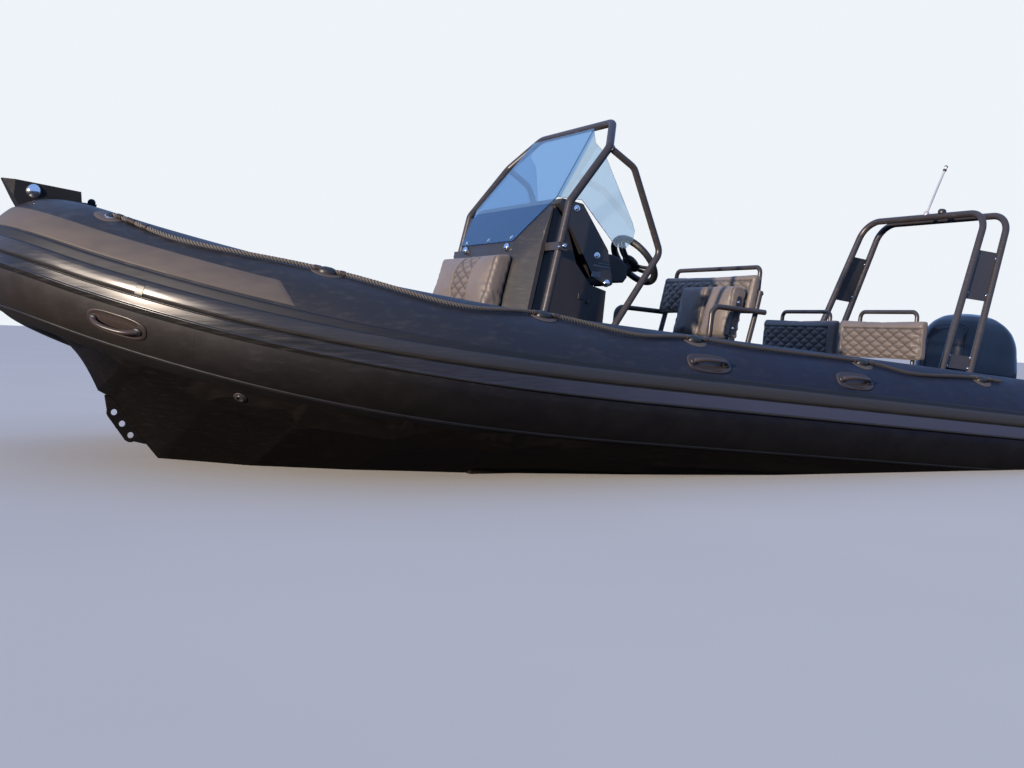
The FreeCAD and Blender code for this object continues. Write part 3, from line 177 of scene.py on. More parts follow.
def bentPath(corners, bend, step=9.0):
    """Straight runs with every corner bent to one radius."""
    corners = [np.asarray(c, float) for c in corners]
    path = [corners[0]]
    for before, corner, after in zip(corners, corners[1:], corners[2:]):
        arriving, leaving = unit(corner - before), unit(after - corner)
        turn = math.acos(np.clip(arriving @ leaving, -1, 1))
        centre = corner + unit(leaving - arriving) * bend / math.cos(turn / 2)
        start = corner - arriving * bend * math.tan(turn / 2)
        share = np.linspace(0, turn, max(3, int(bend * turn / step)) + 1)[:, None]
        path += list(centre + (start - centre) * np.cos(share) + arriving * bend * np.sin(share))
    path.append(corners[-1])
    return np.array(path)


def latheChunk(profile, centre, axis, sides=32):
    """A profile of (radius, height) points turned about an axis."""
    axis = unit(axis)
    side = unit(np.cross(axis, (0, 0, 1) if abs(axis[2]) < 0.8 else (1, 0, 0)))
    reach, rise = np.array(profile, float).T[..., None, None]
    turn = circle(sides)[None, :, None]
    ring = np.cos(turn) * side + np.sin(turn) * np.cross(axis, side)
    return loopGrid(np.asarray(centre, float) + rise * axis + reach * ring)


def screwChunk(place, out, radius, height):
    """A domed screw head with a socket in its crown, its profile in shares of radius and height."""
    shares = ((0.98, -0.4), (1, 0), (0.9, 0.55), (0.62, 0.9), (0.42, 1), (0.4, 0.4), (0.05, 0.35))
    return latheChunk([(radius * r, height * h) for r, h in shares], place, out, 14)


def shaded(mesh, sharp):
    mesh.shade_smooth()
    mesh.set_sharp_from_angle(angle=math.radians(sharp))
    return mesh


def place(name, mesh, finish, nodes=(), body="boat", slotName=None):
    """Put a mesh in the scene as a piece of one body, standing for its CAD nodes."""
    piece = bpy.data.objects.new(name, mesh)
    bpy.context.scene.collection.objects.link(piece)
    mesh.materials.clear()
    mesh.materials.append(look[finish])
    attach(piece, body)
    if nodes:
        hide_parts(*nodes)
    return piece


def rounded(piece, width, segments=2):
    """Soft edges: a bevel with shading kept flat on the faces."""
    bevel = piece.modifiers.new("edges", "BEVEL")
    bevel.width = width / 1000
    bevel.segments = segments
    bevel.limit_method = "ANGLE"
    bevel.angle_limit = math.radians(32)
    bevel.harden_normals = True
    bevel.use_clamp_overlap = True


def setNumbers(mesh, name, values):
    """A number per vertex, which a material reads by name."""
    layer = mesh.attributes.new(name, "FLOAT", "POINT")
    layer.data.foreach_set("value", np.asarray(values, np.float32).ravel())


def piece(name, chunk, finish, *nodes, body="boat", bevel=0.0, sharp=38.0, slotName=None, **numbers):
    """A chunk of the level boat as a piece, with numbers per vertex for its material."""
    mesh = bpy.data.meshes.new(name)
    mesh.from_pydata(afloat(chunk[0]).tolist(), [], chunk[1])
    work = bmesh.new()
    work.from_mesh(mesh)
    bmesh.ops.recalc_face_normals(work, faces=work.faces)
    work.to_mesh(mesh)
    work.free()
    made = place(name, shaded(mesh, sharp), finish, nodes, body, slotName)
    if bevel:
        rounded(made, bevel)
    for key, values in numbers.items():
        setNumbers(mesh, key, values)


def dressed(node, finish, bevel, sharp=30.0, segments=2, slotName=None):
    """A merged copy of a CAD node with soft edges, which stands for it."""
    source = frame["nodes"][node]
    work = bmesh.new()
    work.from_mesh(source.data)
    bmesh.ops.remove_doubles(work, verts=work.verts, dist=2e-5)
    bmesh.ops.dissolve_limit(work, angle_limit=math.radians(0.6), verts=work.verts, edges=work.edges)
    mesh = bpy.data.meshes.new(node + "_dressed")
    work.to_mesh(mesh)
    work.free()
    made = place(node + "_dressed", shaded(mesh, sharp), finish, (node,), source["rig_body"], slotName)
    if bevel:
        rounded(made, bevel, segments)
    return made


def dressedAll(**rows):
    """Dressed CAD nodes, each with its finish and the width of its soft edges."""
    for node, (finish, bevel) in rows.items():
        dressed(node, finish, bevel)


# Materials

class Nodes:
    """A node tree grown by short calls."""

    def __init__(self, tree):
        self.tree = tree

    def add(self, kind, inputs=(), out=0, **settings):
        node = self.tree.nodes.new(kind)
        for key, value in settings.items():
            setattr(node, key, value)
        for socket, value in dict(inputs).items():
            self.feed(node.inputs[socket], value)
        return node.outputs[out]

    def feed(self, socket, value):
        if isinstance(value, bpy.types.NodeSocket):
            self.tree.links.new(value, socket)
        else:
            socket.default_value = (*value, 1) if socket.type == "RGBA" else value

    def place(self):
        return self.add("ShaderNodeTexCoord", out="Object")

    def along(self, axis=0):
        return self.add("ShaderNodeSeparateXYZ", {0: self.place()}, axis)

    def number(self, name):
        return self.add("ShaderNodeAttribute", attribute_name=name, out="Fac")

    def ray(self, kind):
        return self.add("ShaderNodeLightPath", out=f"Is {kind} Ray")

    def noise(self, scale, detail=4.0, stretch=None):
        vector = self.place()
        if stretch:
            vector = self.add("ShaderNodeMapping", {"Vector": vector, "Scale": stretch})
        return self.add("ShaderNodeTexNoise", {"Vector": vector, "Scale": scale, "Detail": detail,
                                               "Roughness": 0.55})

    def cells(self, scale, **settings):
        return self.add("ShaderNodeTexVoronoi", {"Vector": self.place(), "Scale": scale}, **settings)

    def spread(self, value, low, high, toLow=0.0, toHigh=1.0):
        return self.add("ShaderNodeMapRange", {"Value": value, "From Min": low, "From Max": high,
                                               "To Min": toLow, "To Max": toHigh})

    def math(self, operation, a, b=0.0):
        return self.add("ShaderNodeMath", {0: a, 1: b}, operation=operation)

    def times(self, a, b):
        return self.math("MULTIPLY", a, b)

    def gap(self, a, b):
        return self.math("ABSOLUTE", self.math("SUBTRACT", a, b))

    def mix(self, share, first, second):
        node = self.tree.nodes.new("ShaderNodeMix")
        node.data_type = "RGBA"
        for index, value in (("Factor", share), (6, first), (7, second)):
            self.feed(node.inputs[index], value)
        return node.outputs[2]

    def edgeShare(self, low=0.52, high=0.62):
        """The share of an edge that stands out, from the surface's own curvature."""
        return self.spread(self.add("ShaderNodeNewGeometry", out="Pointiness"), low, high)

    def bump(self, height, strength, distance, under=None):
        inputs = {"Height": height, "Strength": strength, "Distance": distance}
        return self.add("ShaderNodeBump", inputs if under is None else {**inputs, "Normal": under})


class Graph(Nodes):
    """The nodes of one material."""

    def __init__(self, name, **sockets):
        self.material = bpy.data.materials.new(name)
        self.material.use_nodes = True
        super().__init__(self.material.node_tree)
        self.shader = self.tree.nodes["Principled BSDF"]
        for socket, value in sockets.items():
            self.shader.inputs[socket.replace("_", " ")].default_value = value

    def finish(self, color, roughness=None, normal=None):
        for socket, value in (("Base Color", color), ("Roughness", roughness), ("Normal", normal)):
            if value is not None:
                self.feed(self.shader.inputs[socket], value)
        return self.material


def scaled(color, factor, lift=0.0):
    return tuple(c * factor + lift for c in color)


def collarFabric():
    """Coated fabric with salt marks and taped joints across the tube: charcoal forward, turning navy aft,
    where shade and a blue sky reflection are painted into its colour.
    """
    g = Graph("collarFabric", Specular_IOR_Level=0.42)
    cloud = g.noise(2.2, 5, (1, 1, 2))
    grime = g.spread(g.noise(26, 6, (0.6, 0.6, 2.2)), 0.52, 0.74, 0, 0.42)
    station, low = g.along(), g.number("around")
    # The share aft, from 4.5 m down to 2.3 m along the boat, where painted shade and a painted blue sky
    # reflection turn the fabric navy
    aft = g.spread(station, 4.5, 2.3)
    fore = g.mix(cloud, (0.013, 0.0128, 0.0150), (0.023, 0.0218, 0.0245))
    color = g.mix(aft, fore, g.mix(cloud, (0.0045, 0.0070, 0.021), (0.0090, 0.0120, 0.029)))
    color = g.mix(g.times(grime, g.spread(aft, 0, 1, 1, 0.35)), color, (0.062, 0.058, 0.056))
    # Tape joints every 1.24 m along the tube, each with a dark rim
    halfSpacing, halfTape = 0.62, 0.022
    joint = g.math("PINGPONG", g.number("along"), halfSpacing)
    rim = g.spread(g.gap(joint, halfTape), 0, 0.0025, 1, 0)
    color = g.mix(g.times(rim, 0.5), color, (0.008, 0.008, 0.009))
    # Painted shade below the strake, in degrees round the tube, reaching up under the strake away from the
    # bow, and a painted warm highlight just under the strake near the bow
    color = g.mix(g.spread(low, -62, -20, 0.9, 0), color, (0.0056, 0.0043, 0.0036))
    color = g.mix(g.times(g.spread(low, -22, -9, 0.85, 0), g.spread(station, 5.1, 4.2)), color,
                  (0.0062, 0.0048, 0.0042))
    color = g.mix(g.times(g.spread(low, -18, -11, 0.6, 0), g.spread(station, 4.6, 5.3)), color,
                  (0.024, 0.0190, 0.0155))
    rough = g.math("ADD", g.spread(g.noise(9, 5), 0.3, 0.7, 0.4, 0.56), g.spread(aft, 0, 1, 0, 0.14))
    weave = g.bump(g.cells(900.0), 0.12, 0.0004)
    waves = g.bump(g.noise(3.4, 4), 0.2, 0.006, weave)
    return g.finish(color, rough, g.bump(g.math("LESS_THAN", joint, halfTape), 0.35, 0.0012, waves))


def strakeRubber():
    """Scratched rubber whose bands follow the height off the tube's skin, in millimetres; aft, its lower face
    carries a painted blue sky reflection.
    """
    g = Graph("strakeRubber", Specular_IOR_Level=0.5)
    scratch = g.noise(34, 7, (0.25, 0.25, 3))
    height, aft = g.number("height"), g.spread(g.along(), 4.6, 2.6)
    color = g.mix(g.spread(scratch, 0.5, 0.8, 0, 0.7), (0.012, 0.0115, 0.012), (0.046, 0.043, 0.042))
    color = g.mix(g.spread(height, 15, 22, 0, 0.35), color, (0.052, 0.049, 0.05))
    color = g.mix(g.spread(height, 9.4, 13, 0.8, 0), color, (0.005, 0.005, 0.007))
    color = g.mix(g.times(g.spread(height, 16, 22, 0, 0.85), aft), color, (0.030, 0.0255, 0.0225))
    # Painted sky reflection: the lower face, about 15 mm off the skin, turns pale blue aft
    lowerFaceSkyReflection = g.spread(g.gap(height, 15.0), 0.2, 0.9, 0.85, 0)
    color = g.mix(g.times(lowerFaceSkyReflection, aft), color, (0.058, 0.066, 0.110))
    dull = g.math("MAXIMUM", g.spread(height, 10, 13, 0.3, 0), g.times(aft, 0.3))
    rough = g.math("ADD", g.spread(scratch, 0.3, 0.75, 0.22, 0.38), dull)
    return g.finish(color, rough, g.bump(g.noise(5, 3), 0.05, 0.002, g.bump(g.noise(420, 3), 0.12, 0.0004)))


def wearFabric():
    g = Graph("wearFabric", Specular_IOR_Level=0.34)
    scuff = g.noise(16, 7, (0.5, 0.5, 2))
    color = g.mix(scuff, (0.066, 0.056, 0.051), (0.112, 0.096, 0.087))
    return g.finish(color, g.spread(scuff, 0.3, 0.7, 0.5, 0.68), g.bump(g.cells(520.0), 0.35, 0.0006))


def twistedRope():
    g = Graph("twistedRope", Roughness=0.8)
    fibre = g.noise(900, 3)
    # Painted shade between the strands, from the number each vertex carries
    color = g.mix(g.number("strand"), (0.0035, 0.0035, 0.0045), (0.15, 0.137, 0.130))
    color = g.mix(g.spread(fibre, 0.4, 0.7, 0, 0.5), color, (0.022, 0.022, 0.025))
    # Painted shade: the rope turns darker and bluer towards the stern
    color = g.mix(g.spread(g.along(), 4.4, 2.6, 0, 0.72), color, (0.010, 0.011, 0.016))
    return g.finish(color, None, g.bump(fibre, 0.5, 0.0006))


def coatedMetal(name, dark, light, rough, grain, edge, metal=0.0, specular=0.45):
    """Baked paint over metal: fine grain, clouded tone, edges lighter."""
    g = Graph(name, Metallic=metal, Specular_IOR_Level=specular)
    cloud = g.noise(3.5, 5)
    streak = g.noise(30, 7, (0.5, 0.5, 3))
    color = g.mix(g.spread(streak, 0.56, 0.78, 0, 0.4), g.mix(cloud, dark, light), scaled(light, 2.2, 0.004))
    color = g.mix(g.times(g.edgeShare(), 0.6), color, edge)
    normal = g.bump(g.noise(700, 2), grain, 0.0004)
    return g.finish(color, g.spread(streak, 0.3, 0.75, *rough), g.bump(cloud, 0.06, 0.004, normal))


def deckPaint():
    """Sprayed non-slip paint on the sole."""
    g = Graph("deckPaint", Specular_IOR_Level=0.3)
    cloud = g.noise(4, 5)
    color = g.mix(cloud, (0.022, 0.022, 0.024), (0.040, 0.040, 0.042))
    return g.finish(color, g.spread(cloud, 0.3, 0.7, 0.6, 0.8), g.bump(g.cells(260.0), 0.8, 0.0012))


def upholstery():
    """Coated leather: pebbled grain and soft creases, with painted shade where a vertex says so: in the
    quilting's grooves, border and seams and on the lower half of each diamond.
    """
    g = Graph("upholstery", Specular_IOR_Level=0.42, Sheen_Weight=0.12, Sheen_Roughness=0.5)
    pebbles, creases = g.cells(620.0, feature="SMOOTH_F1"), g.noise(38, 6)
    dark, light = (0.112, 0.094, 0.088), (0.178, 0.150, 0.137)
    color = g.mix(g.noise(8, 5), dark, light)
    color = g.mix(g.spread(pebbles, 0.1, 0.6, 0.25, 0), color, scaled(dark, 0.4))
    # Painted shade in the grooves, border and seams and on each diamond's lower half
    color = g.mix(g.times(g.number("paintedQuiltShade"), 0.7), color, (0.016, 0.013, 0.012))
    normal = g.bump(creases, 0.16, 0.0016, g.bump(pebbles, 0.28, 0.0006))
    return g.finish(color, g.spread(creases, 0.3, 0.7, 0.42, 0.56), normal)


def clearGlass():
    """Blue acrylic with a trace of dust: pale wings, deeper in front, and a deep navy painted in where the
    cowling stands behind it, as a painted blue sky reflection over the dark cowling.
    """
    g = Graph("clearGlass", Transmission_Weight=0.93, IOR=1.6)
    # Painted reflection: where the cowling stands behind the glass, its colour turns deep navy for the blue
    # sky reflected over the dark cowling
    backed = g.times(g.spread(g.along(2), 1.200, 1.205, 1, 0), g.spread(g.along(), 3.04, 3.06))
    ahead = g.add("ShaderNodeVectorMath", {0: g.place(), 1: (0.809, 0.0, 0.588)}, 1, operation="DOT_PRODUCT")
    color = g.mix(g.spread(ahead, 3.236, 3.247, 1, 0), (0.22, 0.39, 0.64), (0.50, 0.64, 0.78))
    color = g.mix(backed, color, (0.035, 0.15, 0.40))
    return g.finish(color, g.spread(g.noise(60, 6), 0.45, 0.8, 0.01, 0.07))


def polished(name, tint, rough, brushed=0.0):
    g = Graph(name, Metallic=1.0)
    haze = g.noise(22, 6)
    lines = g.noise(240, 2, (1, 6, 1))
    return g.finish(g.mix(haze, scaled(tint, 0.82), tint), g.spread(haze, 0.3, 0.7, rough * 0.7, rough * 1.5),
                    g.bump(lines, brushed, 0.0003))


def moulded(name, dark, light, rough, coat=0.0, grain=0.15, specular=0.5):
    """Moulded plastic or lacquer, with optional clear coat."""
    g = Graph(name, Coat_Weight=coat, Coat_Roughness=0.05, Specular_IOR_Level=specular)
    color = g.mix(g.noise(6, 4), dark, light)
    color = g.mix(g.times(g.edgeShare(0.53, 0.65), 0.4), color, scaled(light, 3, 0.01))
    roughness = g.spread(g.noise(160, 5), 0.3, 0.7, rough * 0.85, rough * 1.2)
    return g.finish(color, roughness, g.bump(g.noise(600, 2), grain, 0.0003))


look = dict(
    collar=collarFabric(), strake=strakeRubber(), wear=wearFabric(), rope=twistedRope(), deck=deckPaint(),
    hull=coatedMetal("hullPaint", (0.0034, 0.0025, 0.0020), (0.0066, 0.0050, 0.0041), (0.42, 0.6), 0.3,
                     (0.030, 0.025, 0.022), 0.0, 0.2),
    cabin=coatedMetal("cabinPaint", (0.0080, 0.0068, 0.0070), (0.0130, 0.0112, 0.0115), (0.36, 0.5), 0.25,
                      (0.05, 0.046, 0.047)),
    console=coatedMetal("consolePaint", (0.017, 0.0165, 0.0175), (0.026, 0.025, 0.027), (0.36, 0.5), 0.25,
                        (0.07, 0.068, 0.07)),
    frame=coatedMetal("framePaint", (0.032, 0.028, 0.029), (0.050, 0.044, 0.046), (0.28, 0.4), 0.2,
                      (0.08, 0.075, 0.072), 0.25),
    seat=upholstery(), glass=clearGlass(),
    steel=polished("polishedSteel", (0.80, 0.80, 0.82), 0.12),
    propeller=polished("propellerMetal", (0.50, 0.51, 0.52), 0.3, 0.3),
    grip=moulded("gripRubber", (0.026, 0.019, 0.017), (0.046, 0.035, 0.031), 0.34),
    nose=moulded("noseCoat", (0.0060, 0.0064, 0.0085), (0.0100, 0.0105, 0.0135), 0.7, 0.0, 0.15, 0.25),
    black=moulded("blackPlastic", (0.010, 0.010, 0.011), (0.018, 0.018, 0.019), 0.42),
    cowl=moulded("cowlLacquer", (0.0018, 0.0030, 0.0080), (0.0034, 0.0056, 0.0130), 0.2, 0.35, 0.02, 0.25),
    engine=moulded("enginePaint", (0.008, 0.009, 0.013), (0.014, 0.015, 0.020), 0.3, 0.6, 0.05),
    gauge=moulded("gaugeFace", (0.004, 0.004, 0.005), (0.007, 0.007, 0.008), 0.12, 1.0, 0.0),
    pod=moulded("podPlastic", (0.016, 0.0155, 0.0165), (0.027, 0.026, 0.0275), 0.36, 0.15, 0.3),
    wheel=moulded("wheelRubber", (0.009, 0.009, 0.010), (0.015, 0.015, 0.016), 0.5, 0.0, 0.5),
    stalk=moulded("stalkPlastic", (0.20, 0.22, 0.26), (0.27, 0.29, 0.33), 0.34, 0.3, 0.1),
    lens=moulded("lampLens", (0.42, 0.43, 0.44), (0.5, 0.51, 0.52), 0.12, 0.6, 0.02),
)
# The slot of each look; the last look of a slot also goes on the CAD nodes of that slot
slotOfLook = dict(
    collar="collar_fabric", strake="strake_rubber", wear="wear_patch_fabric", rope="rope", deck="deck_paint",
    nose="powder_coated_hull", hull="powder_coated_hull", cabin="console_paint", console="console_paint",
    frame="graphite_paint", seat="upholstery", lens="tinted_glass", glass="tinted_glass",
    stalk="polished_steel", steel="polished_steel", propeller="propeller_metal", cowl="cowl_paint",
    engine="engine_paint", grip="black_plastic", pod="black_plastic", gauge="black_plastic",
    wheel="black_plastic", black="black_plastic")
print("materials done")


# The collar's axis: stations in plan, joined by pairs of arcs, as the boat is drawn
boat = dict(radius=260.0, halfBeam=1010.0, aftEnd=-100.0, sheerStart=2560.0, sheerPower=3.83, bowRise=259.0,
            curveStart=3810.0, planRadius=1710.0, planTurn=45.2, noseRadius=515.0)
perDegree = math.radians(1) * boat["radius"]


def planStations():
    """Stations on the port half of the axis: x, y and heading."""
    turn = math.radians(boat["planTurn"])
    big, small, beam = boat["planRadius"], boat["noseRadius"], boat["halfBeam"]
    stations = [(boat["sheerStart"], beam, 0.0)]
    for heading in (0, turn / 2, turn):
        x = boat["curveStart"] + big * math.sin(heading)
        stations.append((x, beam - big * (1 - math.cos(heading)), heading))
    run = (beam - big * (1 - math.cos(turn)) - small * math.cos(turn)) / math.sin(turn)
    x = stations[-1][0] + run * math.cos(turn)
    stations.append((x, stations[-1][1] - run * math.sin(turn), turn))
    noseX = x - small * math.sin(turn)
    for heading in ((turn + math.pi / 2) / 2, math.pi / 2):
        stations.append((noseX + small * math.sin(heading), small * math.cos(heading), heading))
    return stations


bowX = planStations()[-1][0]


def arcBetween(start, tangent, end):
    """The arc that leaves start along tangent: its centre, axis and angle."""
    chord = end - start
    across = chord - tangent * (chord @ tangent)
    if np.linalg.norm(across) < 1e-6 * np.linalg.norm(chord):
        return start, end, None, None, 0.0
    inward = unit(across)
    radius = (chord @ chord) / (2 * (chord @ inward))
    angle = 2 * math.atan2(chord @ inward, chord @ tangent)
    return start, end, start + inward * radius, np.cross(tangent, inward), angle


def negated(axis):
    return None if axis is None else -axis


def collarStretches():
    """The axis from the port stern end to the starboard one, as straight runs and arcs."""
    reach = bowX - boat["sheerStart"]
    power = boat["sheerPower"]
    knots = []
    for x, y, heading in planStations():
        rise = max(0.0, (x - boat["sheerStart"]) / reach)
        slope = boat["bowRise"] * power / reach * rise ** (power - 1)
        tangent = unit([math.cos(heading), -math.sin(heading), slope * math.cos(heading)])
        knots.append((np.array([x, y, boat["bowRise"] * rise ** power]), tangent))
    half = [(np.array([boat["aftEnd"], boat["halfBeam"], 0.0]), knots[0][0], None, None, 0.0)]
    for (p, t), (q, u) in zip(knots, knots[1:]):
        chord, total = q - p, t + u
        spread, pull = 2 * (1 - t @ u), chord @ total
        if spread < 1e-9:
            lead = (chord @ chord) / (4 * (chord @ u))
        else:
            lead = (math.sqrt(pull ** 2 + spread * (chord @ chord)) - pull) / spread
        middle = (p + t * lead + q - u * lead) / 2
        _, _, centre, axis, angle = arcBetween(q, -u, middle)
        half += [arcBetween(p, t, middle), (middle, q, centre, negated(axis), angle)]
    other = []
    for p, q, centre, axis, angle in reversed(half):
        curve = (None, None) if axis is None else (mirrored(centre), mirrored(axis))
        other.append((mirrored(q), mirrored(p), *curve, angle))
    return half + other


def spun(axis, angle):
    """Rotation matrices about one axis."""
    angle = np.asarray(angle, float)[..., None, None]
    k = np.array([[0, -axis[2], axis[1]], [axis[2], 0, -axis[0]], [-axis[1], axis[0], 0]])
    return np.eye(3) + np.sin(angle) * k + (1 - np.cos(angle)) * (k @ k)


stretches = collarStretches()
stretchRuns = [np.linalg.norm(q - p) if axis is None else angle * np.linalg.norm(p - centre)
               for p, q, centre, axis, angle in stretches]
stretchStarts = np.concatenate([[0], np.cumsum(stretchRuns)])
fullLength = stretchStarts[-1]
halfLength = fullLength / 2


def collarFrame(s):
    """Axis points and outboard and upward directions at distances s from the port stern end."""
    s = np.asarray(s, float)
    point = np.empty(s.shape + (3,))
    out, up = np.empty_like(point), np.empty_like(point)
    cross = np.array([[0.0, 1.0, 0.0], [0.0, 0.0, 1.0]])
    index = np.clip(np.searchsorted(stretchStarts, s, "right") - 1, 0, len(stretches) - 1)
    for i, (p, q, centre, axis, angle) in enumerate(stretches):
        here = index == i
        share = (s[here] - stretchStarts[i]) / stretchRuns[i]
        if axis is None:
            point[here] = p + (q - p) * share[..., None]
            out[here], up[here] = cross
        else:
            turn = spun(axis, angle * share)
            point[here] = centre + turn @ (p - centre)
            out[here], up[here] = turn @ cross[0], turn @ cross[1]
            cross = cross @ spun(axis, angle).T
    return point, out, up


def onCollar(s, phi, height=0.0):
    """Points over the skin: along s, phi degrees above the outboard horizontal, height off the skin."""
    s, phi, height = np.broadcast_arrays(np.asarray(s, float), np.radians(phi), height)
    point, out, up = collarFrame(s)
    reach = (boat["radius"] + height)[..., None]
    return point + reach * (np.cos(phi)[..., None] * out + np.sin(phi)[..., None] * up)


# Tube: one round skin with its tapered stern ends
tube = dict(step=30.0, sides=88, cone=420.0, tip=120.0, cap=35.0, knee=(0.45, 0.24), swell=0.0025,
            swellRun=470.0, mostSwell=1.0012)


def coneStations():
    """Axial places and radii of the tapered end, from its tip to the full section."""
    r, tip, cone, cap = boat["radius"], tube["tip"], tube["cone"], tube["cap"]
    kneePlace, kneeDrop = tube["knee"]
    a = np.array([[0.0, r], [kneePlace * cone, r - kneeDrop * (r - tip)], [cone, tip]])
    m = np.stack([2 * (a[1] - a[0]), 2 * (a[2] - a[0])])
    centre = np.linalg.solve(m, np.array([a[1] @ a[1] - a[0] @ a[0], a[2] @ a[2] - a[0] @ a[0]]))
    reach = np.linalg.norm(a[0] - centre)
    back = np.linspace(cone, 0, 16)
    arc = centre[1] + np.sqrt(np.maximum(reach ** 2 - (back - centre[0]) ** 2, 0))
    ends = [(cone + cap, 1.0), (cone + cap, tip * 0.62), (cone + cap - 5, tip * 0.76),
            (cone + cap * 0.6, tip * 0.88), (cone + cap * 0.2, tip * 0.97)]
    return np.array(ends + list(zip(back, arc)))


def buildTube():
    cone = coneStations()
    run = np.linspace(0, fullLength, int(fullLength / tube["step"]))[1:-1]
    s = np.concatenate([-cone[:, 0], run, fullLength + cone[::-1, 0]])
    radius = np.concatenate([cone[:, 1], np.full(len(run), boat["radius"]), cone[::-1, 1]])
    inside = np.clip(s, 0, fullLength)
    point, out, up = collarFrame(inside)
    beyond = (s - inside)[:, None]
    point = point + np.where(beyond < 0, [[1.0, 0, 0]], [[-1.0, 0, 0]]) * beyond
    phi = np.linspace(-180, 180, tube["sides"], endpoint=False)
    turn = np.radians(phi)[None, :, None]
    # The skin draws in a little along its glued foot and swells between the joints
    lobes, waves = np.cos(np.radians(phi) * 3)[None, :], np.sin(s / tube["swellRun"])[:, None]
    swell = np.minimum(1 + tube["swell"] * lobes * waves, tube["mostSwell"])
    reach = (radius[:, None] * swell)[..., None]
    grid = point[:, None] + reach * (np.cos(turn) * out[:, None] + np.sin(turn) * up[:, None])
    along = np.broadcast_to((np.minimum(s, fullLength - s) / 1000)[:, None], grid.shape[:2])
    around = np.broadcast_to(phi[None], grid.shape[:2])
    piece("tubeSkin", loopGrid(grid), "collar", "tube_collar", along=along, around=around)


buildTube()


def evenly(what):
    """Even distances along the tube, from one inset end to the other."""
    inset = what["inset"]
    return np.linspace(inset, fullLength - inset, int((fullLength - 2 * inset) / what["step"]))


def strip(s, angle, height):
    """A closed section of angles and heights over the skin, carried along it."""
    return loopGrid(onCollar(s[:, None], angle, height))


def roundedProfile(corners, cut=4.0, arcSteps=4):
    """An open profile of (angle, height) corners with each one rounded."""
    pts = np.array(corners, float) * (perDegree, 1)
    made = [pts[0]]
    for before, corner, after in zip(pts, pts[1:], pts[2:]):
        a, b = before - corner, after - corner
        size = min(cut, 0.45 * np.linalg.norm(a), 0.45 * np.linalg.norm(b))
        p, q = corner + unit(a) * size, corner + unit(b) * size
        t = np.linspace(0, 1, arcSteps + 1)[:, None]
        made += list((1 - t) ** 2 * p + 2 * t * (1 - t) * corner + t ** 2 * q)
    made.append(pts[-1])
    return np.array(made) / (perDegree, 1)


def padOnSkin(along, angle, halfRun, halfWidth, profile, power, sides=40):
    """A closed pad over the skin: profile of (share of its outline, height) from rim to middle."""
    c, s = np.cos(circle(sides)[None]), np.sin(circle(sides)[None])
    u = np.sign(c) * np.abs(c) ** (2 / power) * halfRun
    v = np.sign(s) * np.abs(s) ** (2 / power) * halfWidth
    rows = np.asarray(profile, float)
    return loopGrid(onCollar(along + u * rows[:, :1], angle + v * rows[:, :1] / perDegree,
                             np.broadcast_to(rows[:, 1:], (len(rows), sides))))


# Rub strake: angle and height of its corners from its top edge down, and their angles aft
strake = dict(inset=160.0, step=34.0, easing=(500.0, 2600.0),
              corners=((17.6, 0.3), (16.5, 8.2), (15.3, 9.2), (9.3, 8.0), (8.5, 9.0), (8.0, 19.0),
                       (5.5, 23.6), (2.0, 24.3), (-1.5, 24.0), (-3.3, 20.5), (-3.8, 14.0), (-4.4, 11.8),
                       (-5.1, 15.0), (-11.0, 15.0), (-11.8, 19.2), (-13.2, 18.0), (-13.7, 0.3)),
              aftAngles=(19.4, 18.5, 17.6, 14.6, 14.0, 13.4, 11.1, 8.1, 5.1, 3.2, 2.6, 2.0, 1.2, -8.4, -9.2,
                         -10.6, -11.2))
# Thin skirt that runs on below the strake towards the bow
skirt = dict(count=130, reach=1900.0, fade=(900, 1880), top=-13.2, low=-13.9, drop=3.2, aftLift=2.6,
             heights=(0.4, 4.6, 4.4, 3.2, 0.4))


def buildStrake():
    profile = roundedProfile(strake["corners"])
    heights = [height for _, height in strake["corners"]]
    aftProfile = roundedProfile(list(zip(strake["aftAngles"], heights)))
    s = evenly(strake)
    ease = smoothStep(np.abs(s - halfLength), *strake["easing"])[:, None, None]
    section = profile + (aftProfile - profile) * ease
    height = section[..., 1]
    piece("rubStrake", strip(s, section[..., 0], height), "strake", "rub_strake", height=height)
    s = np.linspace(halfLength - skirt["reach"], halfLength + skirt["reach"], skirt["count"])
    low = skirt["low"] - skirt["drop"] * (1 - smoothStep(np.abs(s - halfLength), *skirt["fade"]))
    top = np.full(skirt["count"], skirt["top"])
    phi = np.stack([top, top, low + 0.5, low, low], -1)
    phi = phi + skirt["aftLift"] * smoothStep(np.abs(s - halfLength), *strake["easing"])[:, None]
    height = np.broadcast_to(skirt["heights"], phi.shape)
    # Three times the height gives the skirt the look of the strake's faces
    piece("strakeSkirt", strip(s, phi, height), "strake", height=height * 3)


buildStrake()


